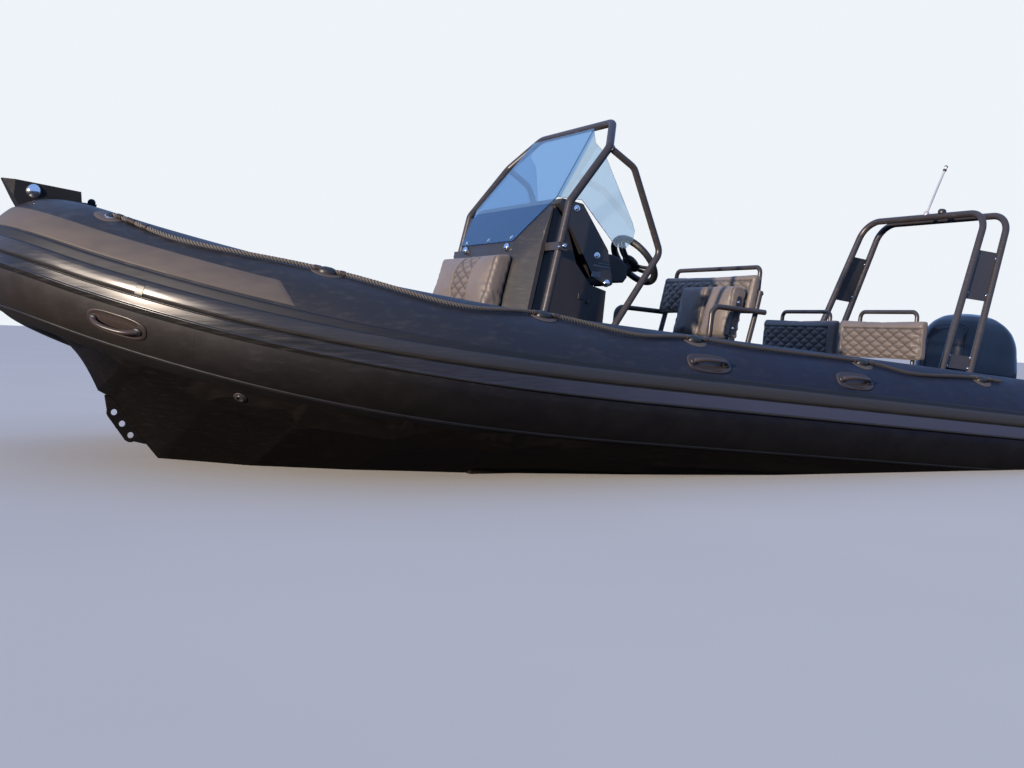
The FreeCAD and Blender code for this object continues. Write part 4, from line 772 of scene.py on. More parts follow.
def sheetOnSkin(corners, thickness, perSide, lift):
    """A thin sheet with four (along, angle) corners over the skin, its edges eased down."""
    c = np.asarray(corners, float)
    u = np.linspace(0, 1, perSide * 3)[:, None, None]
    v = np.linspace(0, 1, perSide)[None, :, None]
    at = (1 - u) * ((1 - v) * c[0] + v * c[1]) + u * ((1 - v) * c[3] + v * c[2])
    s, phi = at[..., 0], at[..., 1]
    edge = np.minimum(np.minimum(u, 1 - u)[..., 0] * 3, np.minimum(v, 1 - v)[..., 0]) * perSide
    top = onCollar(s, phi, lift + thickness * np.sqrt(np.clip(edge / 1.2, 0, 1)))
    bottom = onCollar(s, phi, 0.1)
    rows, cols = s.shape
    faces = gridFaces(rows, cols)
    n = rows * cols
    ring = np.concatenate([np.arange(cols), np.arange(1, rows) * cols + cols - 1,
                           (rows - 1) * cols + np.arange(cols - 2, -1, -1),
                           np.arange(rows - 2, 0, -1) * cols])
    following = np.roll(ring, -1)
    sides = np.stack([ring, following, following + n, ring + n], -1)
    return np.concatenate([top.reshape(-1, 3), bottom.reshape(-1, 3)]), (
        faces.tolist() + (faces[:, ::-1] + n).tolist() + sides.tolist())


# Wear patches glued round the bow, their corners as distance aft of it and angle, and a short plate over the
# joint of the rib's two lengths, its corners as distance along the tube and angle
wear = dict(corners=((1222, 20.4), (1150, 41.0), (6, 41.0), (6, 18.4)), thickness=2.4, lift=0.35)
plate = dict(corners=((5120, -3.2), (5120, 5.4), (5149, 5.4), (5149, -3.2)), thickness=1.2, lift=24.2,
             shadeHeight=12.2)


def buildWear():
    corners = [(halfLength - aft, angle) for aft, angle in wear["corners"]]
    patch = sheetOnSkin(corners, wear["thickness"], 40, wear["lift"])
    piece("wearPatches", bothSides(patch), "wear", "wear_patches")
    joints = bothSides(sheetOnSkin(plate["corners"], plate["thickness"], 10, plate["lift"]))
    piece("strakeJoints", joints, "strake", height=np.full(len(joints[0]), plate["shadeHeight"]))


buildWear()
print("collar skins done")


def turnedTo(right, up, back, place):
    """The matrix of a camera or lamp from its own three directions and its place."""
    matrix = np.eye(4)
    matrix[:3, :3] = np.stack([right, up, back]).T
    matrix[:3, 3] = place
    return Matrix(matrix)


# Camera at the photograph's place, in the level boat
shot = dict(place=(5902.0, 5014.0, 9.0), yaw=29.0, pitch=-0.47, roll=5.92, lens=40.43, sensor=36, clip=400)


def addCamera():
    yaw, pitch, roll = np.radians([shot["yaw"], shot["pitch"], shot["roll"]])
    ahead = np.array([-math.sin(yaw) * math.cos(pitch), -math.cos(yaw) * math.cos(pitch), math.sin(pitch)])
    right = unit(np.cross(ahead, (0, 0, 1)))
    up = np.cross(right, ahead)
    rolledRight = right * math.cos(roll) + up * math.sin(roll)
    rolledUp = up * math.cos(roll) - right * math.sin(roll)
    data = bpy.data.cameras.new("camera")
    data.lens = shot["lens"]
    data.sensor_width = shot["sensor"]
    data.clip_end = shot["clip"]
    camera = bpy.data.objects.new("camera", data)
    camera.matrix_world = turnedTo(*turned(np.stack([rolledRight, rolledUp, -ahead])), afloat(shot["place"]))
    bpy.context.scene.collection.objects.link(camera)
    bpy.context.scene.camera = camera


addCamera()


sky = dict(shown=(0.86, 0.90, 0.95), lit=(0.26, 0.44, 0.88), strength=0.62, glossStrength=1.1)
ground = dict(shown=((0.63, 0.62, 0.59), (0.69, 0.68, 0.65)), lit=(0.045, 0.050, 0.062), reach=60.0)


def lamp(name, kind, energy, color, place, aim, size):
    data = bpy.data.lights.new(name, kind)
    data.energy = energy
    data.color = color
    if kind == "AREA":
        data.shape = "DISK"
        data.size = size
    else:
        data.angle = size
    made = bpy.data.objects.new(name, data)
    way = unit(np.asarray(aim, float) - place)
    side = unit(np.cross((0, 0, 1), -way))
    made.matrix_world = turnedTo(side, np.cross(-way, side), -way, place)
    bpy.context.scene.collection.objects.link(made)
    return made


def addLights():
    """A low warm key from ahead of the bow, a soft side light and a pale sky that lights blue."""
    middle = (3.0, 0.0, 0.6)
    lamp("key", "SUN", 6.2, (1.0, 0.83, 0.67), (14.0, 4.2, 2.9), middle, math.radians(2))
    side = lamp("side", "AREA", 90, (0.80, 0.88, 1.0), (2.5, 9.5, 6.0), middle, 5.0)
    back = lamp("back", "AREA", 150, (0.86, 0.91, 1.0), (-6.5, -5.0, 5.5), (1.0, 0, 0.8), 4.0)
    side.visible_glossy = back.visible_glossy = False
    world = bpy.data.worlds.new("studio")
    world.use_nodes = True
    world.node_tree.nodes.clear()
    w = Nodes(world.node_tree)
    shown = w.add("ShaderNodeBackground", {"Color": sky["shown"], "Strength": 1.0})
    strength = w.spread(w.ray("Glossy"), 0, 1, sky["strength"], sky["glossStrength"])
    lit = w.add("ShaderNodeBackground", {"Color": sky["lit"], "Strength": strength})
    seen = w.math("MAXIMUM", w.ray("Camera"), w.ray("Transmission"))
    output = w.tree.nodes.new("ShaderNodeOutputWorld")
    w.feed(output.inputs[0], w.add("ShaderNodeMixShader", {0: seen, 1: lit, 2: shown}))
    bpy.context.scene.world = world
    bpy.context.scene.view_settings.view_transform = "Standard"


def addFloor():
    """A wide floor at the waterline, pale to the camera and dark to the boat."""
    g = Graph("floor", Roughness=0.85, Specular_IOR_Level=0.1)
    pale = g.mix(g.noise(0.7, 3), *ground["shown"])
    g.finish(g.mix(g.ray("Camera"), ground["lit"], pale))
    mesh = bpy.data.meshes.new("floor")
    reach = ground["reach"]
    mesh.from_pydata([(x, y, 0) for x, y in rectangle(-reach, -reach, reach, reach)], [], [(0, 1, 2, 3)])
    mesh.materials.append(g.material)
    floor = bpy.data.objects.new("floor", mesh)
    bpy.context.scene.collection.objects.link(floor)


addLights()
addFloor()
print("stage done")


# Handles: distance aft of the bow, angle and length of each, and profiles of rim and lug
handle = dict(places=((668, -32, 226), (2895, 32, 226), (3728, 32, 220)),
              halfWidth=44, grip=8.5, rise=34.0, foot=9.0, share=0.37,
              rim=((1.0, 0.3), (1.0, 3.0), (0.985, 4.6), (0.95, 6.0), (0.90, 6.6), (0.86, 6.2), (0.82, 4.6),
                   (0.62, 4.2), (0.3, 4.4), (0.02, 4.4)),
              lug=((1, 4.4), (1, 9), (0.86, 12.5), (0.6, 14.5), (0.34, 15), (0.3, 12.5), (0.05, 12.2)))


def buildHandles():
    pads, grips, lugs = [], [], []
    for aft, angle, length in handle["places"]:
        along = halfLength - aft
        pads.append(padOnSkin(along, angle, length / 2, handle["halfWidth"], handle["rim"], 3.0))
        t = np.linspace(-1, 1, 31)
        height = handle["foot"] + (handle["rise"] - handle["foot"]) * (1 - np.abs(t) ** 3.2)
        path = onCollar(along + t * length * handle["share"], angle - 1.2 * (1 - t ** 2), height)
        grips.append(tubeChunk(path, handle["grip"] * (1 + 0.25 * np.abs(t) ** 4), 12))
        lugs += [padOnSkin(along + end * length * handle["share"], angle, 17, 15, handle["lug"], 2.2, 24)
                 for end in (-1, 1)]
    piece("handlePads", bothSides(*pads), "grip", "tube_handles")
    piece("handleGrips", bothSides(*grips), "grip")
    piece("handleLugs", bothSides(*lugs), "black")


buildHandles()


# Rope: distance aft of the bow along the axis, degrees above the outboard horizontal
rope = dict(holders=((432, 65), (1287, 72), (2146, 69), (2884, 63), (3853, 61), (4660, 58)),
            dips=((755, 56), (1770, 55), (2580, 55), (3232, 59.5), (4150, 50)), ends=((446, 65), (4800, 57)),
            lift=10.6, strand=4.5, offset=4.6, pitch=38.0, step=5.0, shade=(6.9, 8.9),
            splice=((458, 486), (512, 556), (600, 622)), spliceRadius=10.6, whipping=(-52, 40),
            whippingLength=26, whippingRadius=10.2)


def ropePath():
    knots = np.array(sorted(rope["holders"][1:] + rope["dips"] + rope["ends"], reverse=True), float)
    span = np.arange(knots[-1, 0], knots[0, 0], rope["step"])[::-1]
    i = np.clip(np.searchsorted(-knots[:, 0], -span) - 1, 0, len(knots) - 2)
    share = (knots[i, 0] - span) / (knots[i, 0] - knots[i + 1, 0])
    return span, knots[i, 1] + (knots[i + 1, 1] - knots[i, 1]) * smoothStep(share, 0, 1)


def buildRope():
    span, angle = ropePath()
    path = onCollar(halfLength - span, angle, rope["lift"])
    a, b = frames(path)
    run = runAlong(path)
    strands, shades = [], []
    for third in range(3):
        turn = (run / rope["pitch"] + third / 3) * 2 * np.pi
        line = path + rope["offset"] * (np.cos(turn)[:, None] * a + np.sin(turn)[:, None] * b)
        strands.append(tubeChunk(line, rope["strand"], 7))
        # Painted shade between the strands: light where a strand faces out from the rope's core, dark deep
        # between the strands
        reach = np.linalg.norm(strands[-1][0].reshape(len(path), -1, 3) - path[:, None], axis=-1)
        shades.append(smoothStep(reach, *rope["shade"]).ravel())
    piece("lifeline", bothSides(*strands), "rope", "lifelines", strand=np.concatenate(shades * 2))
    # Whipped splices: cord wound round the rope at its forward end and beside each holder
    wraps = []
    for far, near in rope["splice"]:
        pick = (span >= far) & (span <= near)
        ribs = 1 + 0.10 * np.cos(np.arange(pick.sum()) * np.pi)
        wraps.append(tubeChunk(path[pick], rope["spliceRadius"] * ribs, 12))
    for at, _ in rope["holders"][1:]:
        for off in rope["whipping"]:
            pick = (span >= at + off) & (span <= at + off + rope["whippingLength"])
            wraps.append(tubeChunk(path[pick], rope["whippingRadius"], 12))
    piece("ropeWhipping", bothSides(*wraps), "grip", slotName="rope")


buildRope()


# Rope holders and valves: profiles of (share of the outline, height)
holder = dict(patch=((1, 0.2), (1, 1.5), (0.985, 2.0), (0.6, 2.1), (0.02, 2.1)),
              boss=((1, 2.0), (0.98, 6), (0.9, 12), (0.74, 17), (0.5, 20), (0.25, 21.2), (0.02, 21.5)))
valve = dict(places=((halfLength - 432, 65, False), (4250, 118, True), (1900, 122, True)),
             patch=((1, 0.2), (1, 1.2), (0.98, 1.7), (0.02, 1.8)),
             ring=((1, 1.7), (1, 4.4), (0.94, 5.2), (0.8, 5.4), (0.78, 3.0), (0.02, 3.0)),
             cap=((1, 3.0), (1, 8.6), (0.9, 10.0), (0.5, 10.6), (0.45, 9.2), (0.02, 9.0)))


def buildHolders():
    # The foremost patch carries a valve in place of a boss
    spots = [(halfLength - at, angle) for at, angle in rope["holders"]]
    patches = [padOnSkin(*spot, 62, 50, holder["patch"], 2.0) for spot in spots]
    bosses = [padOnSkin(*spot, 36, 25, holder["boss"], 2.3, 32) for spot in spots[1:]]
    rings, caps = [], []
    for s, angle, patched in valve["places"]:
        if patched:
            patches.append(padOnSkin(s, angle, 58, 46, valve["patch"], 2.0))
        rings.append(padOnSkin(s, angle, 24, 24, valve["ring"], 2.0, 32))
        caps.append(padOnSkin(s, angle, 18, 18, valve["cap"], 2.0, 28))
    piece("ropePatches", bothSides(*patches), "wear", "rope_patches")
    piece("ropeBosses", bothSides(*bosses), "black")
    piece("valveRings", bothSides(*rings), "steel")
    piece("valveCaps", bothSides(*caps), "black")


buildHolders()


# The bead where the collar is glued to the hull's flange
welt = dict(inset=120, step=40, profile=((-54.9, 0.2), (-55.2, 3.0), (-56.0, 4.8), (-57.0, 5.4), (-58.0, 4.8),
                                         (-58.8, 3.0), (-59.1, 0.2)))


def buildWelt():
    s = evenly(welt)
    angle, height = np.array(welt["profile"]).T
    height = np.broadcast_to(height, (len(s), len(height)))
    piece("flangeWelt", strip(s, angle[None], height), "strake", height=height)


buildWelt()
print("collar fittings done")


# Hull and what is welded to it
dressed("hull", "hull", 0, sharp=20)
dressedAll(deck_sole=("deck", 0), transom_board=("hull", 4), stern_eyes=("hull", 2),
           bow_eye_plate=("hull", 1.5), bow_step=("nose", 1.6), bow_pin=("steel", 0))
dressed("bow_locker", "console", 3, slotName="deck_paint")
dressedAll(bow_locker_lid=("deck", 3))


# Tube frames: corners of the port half or of one side, radius and bend radius
deckLevel = -130
hoop = dict(corners=((3345, 520, deckLevel), (3200, 506, 823), (3008, 491, 1109), (2906, 337, 1264)),
            radius=19.0, bend=60, foot=40)
grab = dict(corners=((2996, 492, 1102), (2866, 500, 1036), (2668, 500, 662), (3128, 500, deckLevel)),
            radius=16.0, bend=55, foot=36)
arch = dict(fore=((842, 574, deckLevel), (372, 465, 1226)), aft=((612, 588, deckLevel), (205, 487, 1236)),
            radius=20.0, bend=125, foot=46)
rails = dict(corners=((932, 121, 116), (932, 121, 580), (932, 538, 580), (932, 538, 116)), radius=12.0,
             bend=34, foot=((22, 0), (22, 3), (14, 7), (12.5, 12)), footLevel=115.3)
helm = dict(post=((1948, 390, -129), (1988, 390, 250), (1948, 390, 452), (1929, 390, 572)), postBend=50,
            arm=((1918, 428, 462), (2262, 428, 455), (2262, 428, 300), (2262, 338, 222)), armBend=46,
            link=((1940, 390, 462), (1918, 428, 462)), rail=((1918, 358, 552), (1918, 358, 700)), railBend=32,
            bar=(1918, 390, 560), radius=14.0, railRadius=12.0, thin=10.5, foot=32)


def acrossBoat(corners):
    """A path's corners, carried on over the boat to the other side."""
    return np.concatenate([np.asarray(corners, float), mirrored(corners[::-1])])


def beadAt(here, way, radius, width, proud):
    """A weld bead round a tube."""
    profile = [(radius * 0.9, -width), (radius + proud * 0.5, -width * 0.6), (radius + proud, 0),
               (radius + proud * 0.5, width * 0.6), (radius * 0.9, width)]
    return latheChunk(profile, here, way, 24)


def footFlange(x, y, radius, screws=4):
    """A round foot plate with its screws."""
    plate = [(radius, 0.1), (radius, 5.6), (radius - 2, 7.8), (22, 8.0), (21, 0.1)]
    chunks = [latheChunk(plate, (x, y, deckLevel), (0, 0, 1), 36)]
    for k in range(screws):
        turn = math.radians(45 + k * 360 / screws)
        spot = (x + math.cos(turn) * radius * 0.78, y + math.sin(turn) * radius * 0.78, deckLevel + 7.6)
        chunks.append(screwChunk(spot, (0, 0, 1), 5.0, 3.4))
    return joined(*chunks)


def buildFrames():
    path = bentPath(acrossBoat(hoop["corners"]), hoop["bend"])
    x, y, _ = hoop["corners"][0]
    feet = [footFlange(x, side * y, hoop["foot"]) for side in (1, -1)]
    piece("consoleHoop", joined(tubeChunk(path, hoop["radius"], 24), *feet), "frame", "console_hoop")
    path = bentPath(grab["corners"], grab["bend"])
    bead = beadAt(path[0], path[1] - path[0], grab["radius"] + 1, 6, 3)
    foot = footFlange(*grab["corners"][-1][:2], grab["foot"])
    piece("grabRails", bothSides(tubeChunk(path, grab["radius"], 20), bead, foot), "frame", "grab_rails")
    chunks = []
    for corners in (arch["fore"], arch["aft"]):
        x, y, _ = corners[0]
        chunks += [tubeChunk(bentPath(acrossBoat(corners), arch["bend"]), arch["radius"], 24)]
        chunks += [footFlange(x, side * y, arch["foot"]) for side in (1, -1)]
    piece("sternArch", joined(*chunks), "frame", "stern_arch")
    chunks = []
    for side in (1, -1):
        corners = np.array(rails["corners"]) * (1, side, 1)
        chunks.append(tubeChunk(bentPath(corners, rails["bend"]), rails["radius"]))
        chunks += [latheChunk(rails["foot"], (x, y, rails["footLevel"]), (0, 0, 1), 20)
                   for x, y, _ in (corners[0], corners[-1])]
    piece("sternRails", joined(*chunks), "frame", "stern_rails")
    chunks = []
    for side in (1, -1):
        post, arm, link = [np.array(helm[part], float) * (1, side, 1) for part in ("post", "arm", "link")]
        chunks += [tubeChunk(bentPath(post, helm["postBend"]), helm["radius"], 18),
                   tubeChunk(bentPath(arm, helm["armBend"]), helm["radius"], 18),
                   tubeChunk(np.linspace(*link, 3), helm["thin"], 14),
                   footFlange(*post[0][:2], helm["foot"], 3)]
    rail = bentPath(mirrored(acrossBoat(helm["rail"])), helm["railBend"])
    bar = np.linspace(mirrored(helm["bar"]), helm["bar"], 3)
    chunks += [tubeChunk(rail, helm["railRadius"]), tubeChunk(bar, helm["thin"]),
               beadAt(rail[0], rail[1] - rail[0], 12, 5, 2), beadAt(rail[-1], rail[-1] - rail[-2], 12, 5, 2)]
    piece("helmFrame", joined(*chunks), "frame", "helm_frame")
    dressedAll(arch_panels=("frame", 1.5), frame_clamps=("frame", 4))


buildFrames()
print("frames done")


# The console, its glass and what is screwed to it
console = dict(cheekScrews=((3107, 420, 810), (2970, 420, 608)), knob=(2905, 420, 487),
               glassScrews=((3341.9, -225, 645), (3340.4, 10, 647.5), (3338.8, 240, 650)),
               glassOut=(0.85, 0, 0.527), washer=((17, 0.2), (17, 1.6), (15.5, 2.4), (10, 2.6)),
               knobProfile=((18, -6), (19, 0), (19, 6), (16, 12), (10, 17), (2, 18.5)),
               smallWasher=((12, 0.1), (12, 1.5), (10, 2.0), (4, 2.1)),
               boss=((19, -3), (20, 0), (20, 5), (17.5, 11), (12, 15.5), (6, 17.5), (1, 18)),
               bosses=((3349.4, -205, 605), (3349.7, 230, 602.5)), bossOut=(1, 0, 0.13),
               sideScrews=((3226, 612, 12.0, 9.0), (3252, 604, 7.0, 4.0)), sideFace=539.4,
               slots=((2893, 2988, 556, 566), (2893, 2960, 572, 578), (2938, 2990, 506, 534)),
               panel=((2922.0, 596.0), (3068.0, 772.0)), gaugeOut=(-0.77, 0.0, 0.64),
               gauges=((3010, 150, 733, 42), (3010, 30, 733, 42), (3010, -90, 733, 30), (2950, 20, 650, 24)),
               switches=dict(count=6, x=2950, y=-60, z=650, pitch=38, half=(13, 9),
                             sections=((-2, 1.0), (5, 1.0), (9, 0.72))),
               latches=(((2978, 398, 70), (3060, 402.6, 96)), ((2978, 398, -40), (3060, 402.6, -14)),
                        ((3005, 399, 395), (3042, 407, 423)), ((2975, 399, 380), (2992, 409, 396))))


def gauge(centre, radius, out):
    """A round instrument: bezel, glass and face."""
    rim = [(radius * 0.98, -3), (radius, 0), (radius, 5), (radius * 0.95, 7.5), (radius * 0.88, 7),
           (radius * 0.85, 3), (radius * 0.05, 3)]
    return latheChunk(rim, centre, out, 36)


def onPanel(x, y, z):
    """The point of the instrument panel's face nearest to a place."""
    low, high = np.array(console["panel"])
    way = unit(high - low)
    spot = low + way * ((np.array([x, z], float) - low) @ way)
    return np.array([spot[0], y, spot[1]])


def buildConsole():
    dressedAll(console_body=("cabin", 3), console_cowling=("console", 2.5))
    dressed("dash_pod", "pod", 7, segments=4)
    dressedAll(steering_hub=("black", 3), throttle=("black", 2), console_seat=("console", 4),
               console_seat_lid=("console", 3))
    dressed("windscreen", "glass", 0.8).visible_shadow = False
    cheeks, bright = [], []
    for x, y, z in console["cheekScrews"]:
        cheeks += [latheChunk(console["washer"], (x, y, z), (0, 1, 0), 28),
                   screwChunk((x, y + 2, z), (0, 1, 0), 10.0, 6.5)]
    cheeks.append(latheChunk(console["knobProfile"], console["knob"], (0, 1, 0)))
    ahead = unit(console["glassOut"])
    for spot in console["glassScrews"]:
        bright += [latheChunk(console["smallWasher"], spot, ahead, 24),
                   screwChunk(np.array(spot) + ahead * 1.8, ahead, 8.0, 6.0)]
    bright += [latheChunk(console["boss"], spot, console["bossOut"]) for spot in console["bosses"]]
    for side in (1, -1):
        bright += [screwChunk((x, side * console["sideFace"], z), (0, side, 0), radius, height)
                   for x, z, radius, height in console["sideScrews"]]
    piece("consoleFittings", joined(*cheeks, *bright, *[flipped(c) for c in cheeks]), "steel")
    # Slots and a pocket low on each cheek of the pod, drawn as thin near-black plates: painted shade standing
    # for the openings
    slots = [blockChunk((x0, 417, z0), (x1, 421.2, z1)) for x0, x1, z0, z1 in console["slots"]]
    piece("podSlots", bothSides(*slots), "gauge", bevel=1.5)
    out = unit(console["gaugeOut"])
    up = positive(np.cross(out, (0, 1, 0)), 2)
    faces = [gauge(onPanel(x, y, z), radius, out) for x, y, z, radius in console["gauges"]]
    piece("dashGauges", joined(*faces), "gauge")
    row = console["switches"]
    wide, tall = row["half"]
    switches = []
    for k in range(row["count"]):
        centre = onPanel(row["x"], row["y"] - row["pitch"] * k, row["z"])
        switches.append(loopGrid(np.array([
            [centre + grow * (a * np.array([0, 1.0, 0]) + b * up) + lift * out
             for a, b in rectangle(-wide, -tall, wide, tall)] for lift, grow in row["sections"]])))
    piece("dashSwitches", joined(*switches), "black", bevel=1.5)
    latches = [blockChunk(*ends) for ends in console["latches"]]
    piece("consoleLatches", bothSides(*latches), "black", bevel=1.5)


buildConsole()


# Wheel: hub place, rake of its plane, sizes, and the turned boss and nut in its middle
wheel = dict(hub=(2641.0, 250.0, 638.0), rake=44.0, ring=133.0, rim=17.0, dish=30.0, spokes=(90, 210, 330),
             rods=(-13, 13), rod=(9.5, 4.5), bow=9.0, grips=0.045, stitches=0.035,
             boss=((31, -43), (42, -38), (50, -30), (51, -22), (44, -13), (24, -8), (21, -9.5), (2, -8.5)),
             nut=((15, -10), (15, -5.5), (12, -3.5), (3, -3)))


def buildWheel():
    rake = math.radians(wheel["rake"])
    out = np.array([-math.cos(rake), 0, math.sin(rake)])
    side, up = np.array([0.0, 1.0, 0.0]), positive(np.cross(out, (0, 1.0, 0)), 2)
    hub = np.array(wheel["hub"])
    turn = circle(96)
    ring = hub + wheel["ring"] * (np.cos(turn)[:, None] * side + np.sin(turn)[:, None] * up)
    a = unit(ring - hub)
    around = circle(18)[None, :, None]
    radius = (wheel["rim"] * (1 + wheel["grips"] * np.cos(turn * 3 + math.pi)))[:, None, None]
    bumps = 1 + wheel["stitches"] * np.cos(turn * 60)[:, None, None] * (np.cos(around) < 0)
    grid = ring[:, None] + radius * bumps * (np.cos(around) * a[:, None] + np.sin(around) * out)
    pieces = [loopGrid(grid, loopRows=True)]
    wide, thick = wheel["rod"]
    corners = np.array(rectangle(-wide, -thick, wide, thick))
    t = np.linspace(0, 1, 9)[:, None]
    for angle in np.radians(wheel["spokes"]):
        way = side * math.cos(angle) + up * math.sin(angle)
        across = np.cross(out, way)
        for offset in wheel["rods"]:
            inner = hub - out * wheel["dish"] + way * 24 + across * offset
            outer = hub - out * 3 + way * (wheel["ring"] - 5) + across * offset * 1.25
            middle = inner * (1 - t) + outer * t - out * wheel["bow"] * np.sin(t * math.pi)
            section = corners[:, :1] * across + corners[:, 1:] * out
            pieces.append(loopGrid(middle[:, None] + section))
    pieces.append(latheChunk(wheel["boss"], hub, out, 40))
    piece("steeringWheel", joined(*pieces), "wheel", "steering_wheel", body="wheel", bevel=1.6)
    piece("wheelCap", latheChunk(wheel["nut"], hub, out, 28), "gauge", body="wheel")


buildWheel()
print("console done")


# Upholstery: each pad is blown up as cloth from its CAD shape, then quilted and edged
def vectors(mesh, key="co"):
    """The places or normals of a mesh's vertices."""
    values = np.empty(len(mesh.vertices) * 3)
    mesh.vertices.foreach_get(key, values)
    return values.reshape(-1, 3)


def settled(pad):
    """The pad's mesh with its modifiers applied."""
    return bpy.data.meshes.new_from_object(pad.evaluated_get(bpy.context.evaluated_depsgraph_get()))


def blown(node, facing, voxel, pressure, shrink=0.994, lastFrame=14, sideways=0.3):
    """A soft copy of a CAD pad, remeshed, shrunk a little and filled with air, and the pad's own points."""
    work = frame["nodes"][node].data.copy()
    pad = bpy.data.objects.new(node + "_soft", work)
    bpy.context.scene.collection.objects.link(pad)
    points = vectors(work)
    middle = (points.max(0) + points.min(0)) / 2
    work.vertices.foreach_set("co", (middle + (points - middle) * shrink).ravel())
    remesh = pad.modifiers.new("remesh", "REMESH")
    remesh.mode = "VOXEL"
    remesh.voxel_size = voxel / 1000
    cloth = pad.modifiers.new("cloth", "CLOTH")
    settings = cloth.settings
    settings.quality = 4
    settings.mass = 0.35
    settings.tension_stiffness = settings.compression_stiffness = 60
    settings.shear_stiffness = 30
    settings.bending_stiffness = 4
    settings.use_pressure = True
    settings.uniform_pressure_force = pressure
    settings.effector_weights.gravity = 0
    cloth.collision_settings.use_collision = False
    cloth.point_cache.frame_end = lastFrame
    for k in range(1, lastFrame + 1):
        bpy.context.scene.frame_set(k)
    soft = settled(pad)
    # Keep the pad's outline nearly straight: the air fills it mostly outwards
    pad.modifiers.remove(cloth)
    bpy.context.scene.frame_set(1)
    before = settled(pad)
    start = vectors(before)
    moved = vectors(soft) - start
    out = unit(turned(facing))
    along = (moved @ out)[:, None] * out
    soft.vertices.foreach_set("co", (start + along + sideways * (moved - along)).ravel())
    bpy.data.meshes.remove(before)
    bpy.data.objects.remove(pad)
    bpy.context.scene.frame_set(1)
    return soft, points


def buildPad(node, facing, upward, quilt, seams, body, voxel, pressure=3.2, pitch=62.0, depth=5.0, cap=13.0,
             slope=0.62, seamDepth=3.5):
    """One cushion: facing is the way its broad face looks and upward the way its quilting stands."""
    soft, hard = blown(node, facing, voxel, pressure)
    work = bmesh.new()
    work.from_mesh(soft)
    bmesh.ops.subdivide_edges(work, edges=work.edges, cuts=1, use_grid_fill=True, smooth=0.6)
    bmesh.ops.smooth_vert(work, verts=work.verts, factor=0.5, use_axis_x=True, use_axis_y=True,
                          use_axis_z=True)
    work.to_mesh(soft)
    work.free()
    points = np.clip(vectors(soft), hard.min(0) - cap / 2000, hard.max(0) + cap / 2000)
    out, up = unit(turned(facing)), unit(turned(upward))
    across = np.cross(up, out)
    middle = (hard.max(0) + hard.min(0)) / 2
    flat, span = [np.stack([(p - middle) @ across, (p - middle) @ up], -1) * 1000 for p in (points, hard)]
    half = (span.max(0) - span.min(0)) / 2
    flat = flat - (span.max(0) + span.min(0)) / 2
    front = smoothStep(vectors(soft, "normal") @ out, 0.35, 0.75)
    paintedQuiltShade = np.zeros(len(points))
    if quilt is not None:
        # Distances inside the quilt's four borders, then diamonds with grooves between them
        left, right, bottom, top = quilt
        borders = np.stack([flat[:, 0] + half[0] * left, half[0] * right - flat[:, 0],
                            flat[:, 1] + half[1] * bottom, half[1] * top - flat[:, 1]])
        inside = np.prod(smoothStep(borders, 0, 6), axis=0)
        u, v = flat[:, 0] / pitch, flat[:, 1] / (pitch * slope)
        lines = np.minimum(np.abs((u + v) - np.round(u + v)), np.abs((u - v) - np.round(u - v)))
        groove, swell = hump(lines, 0.10), 1 - np.clip(lines / 0.42, 0, 1)
        # Painted shade: each diamond darkens over its lower half as if lit from above, and the grooves are
        # darkened
        drop = v - (np.floor(u + v) - np.floor(u - v)) / 2
        lowerHalfShade = np.clip(-drop * 1.3, 0, 0.55)
        paintedQuiltShade = np.maximum(groove, lowerHalfShade) * inside
        sunk = (groove * 0.6 + swell * 0.8) * depth * inside * front / 1000
        points = points - out * sunk[:, None]
        # The border sinks in and is darkened as painted shade
        border = hump(np.abs(borders).min(0), 5.5) * (borders > -8).all(0)
        points = points - out * (border * front * depth / 1000)[:, None]
        paintedQuiltShade = np.maximum(paintedQuiltShade, border)
    # Each seam sinks in and is darkened as painted shade
    for at in seams:
        line = hump(flat[:, 0] - half[0] * at, 5.0)
        points = points - out * (line * front * seamDepth / 1000)[:, None]
        paintedQuiltShade = np.maximum(paintedQuiltShade, line)
    soft.vertices.foreach_set("co", points.ravel())
    soft.shade_smooth()
    made = place(node + "_pad", soft, "seat", (node,), body)
    setNumbers(soft, "paintedQuiltShade", paintedQuiltShade * front)


# A squab stands laid back about its hinge
squab = dict(hinge=(2082.0, 0, 300.0), lean=math.radians(8), faces=(("port", 370, 1), ("starboard", -80, -1)),
             plate=((2068, 332), (2096, 332), (2096, 520), (2086, 534), (2078, 534), (2068, 520)),
             bolts=(362, 500))
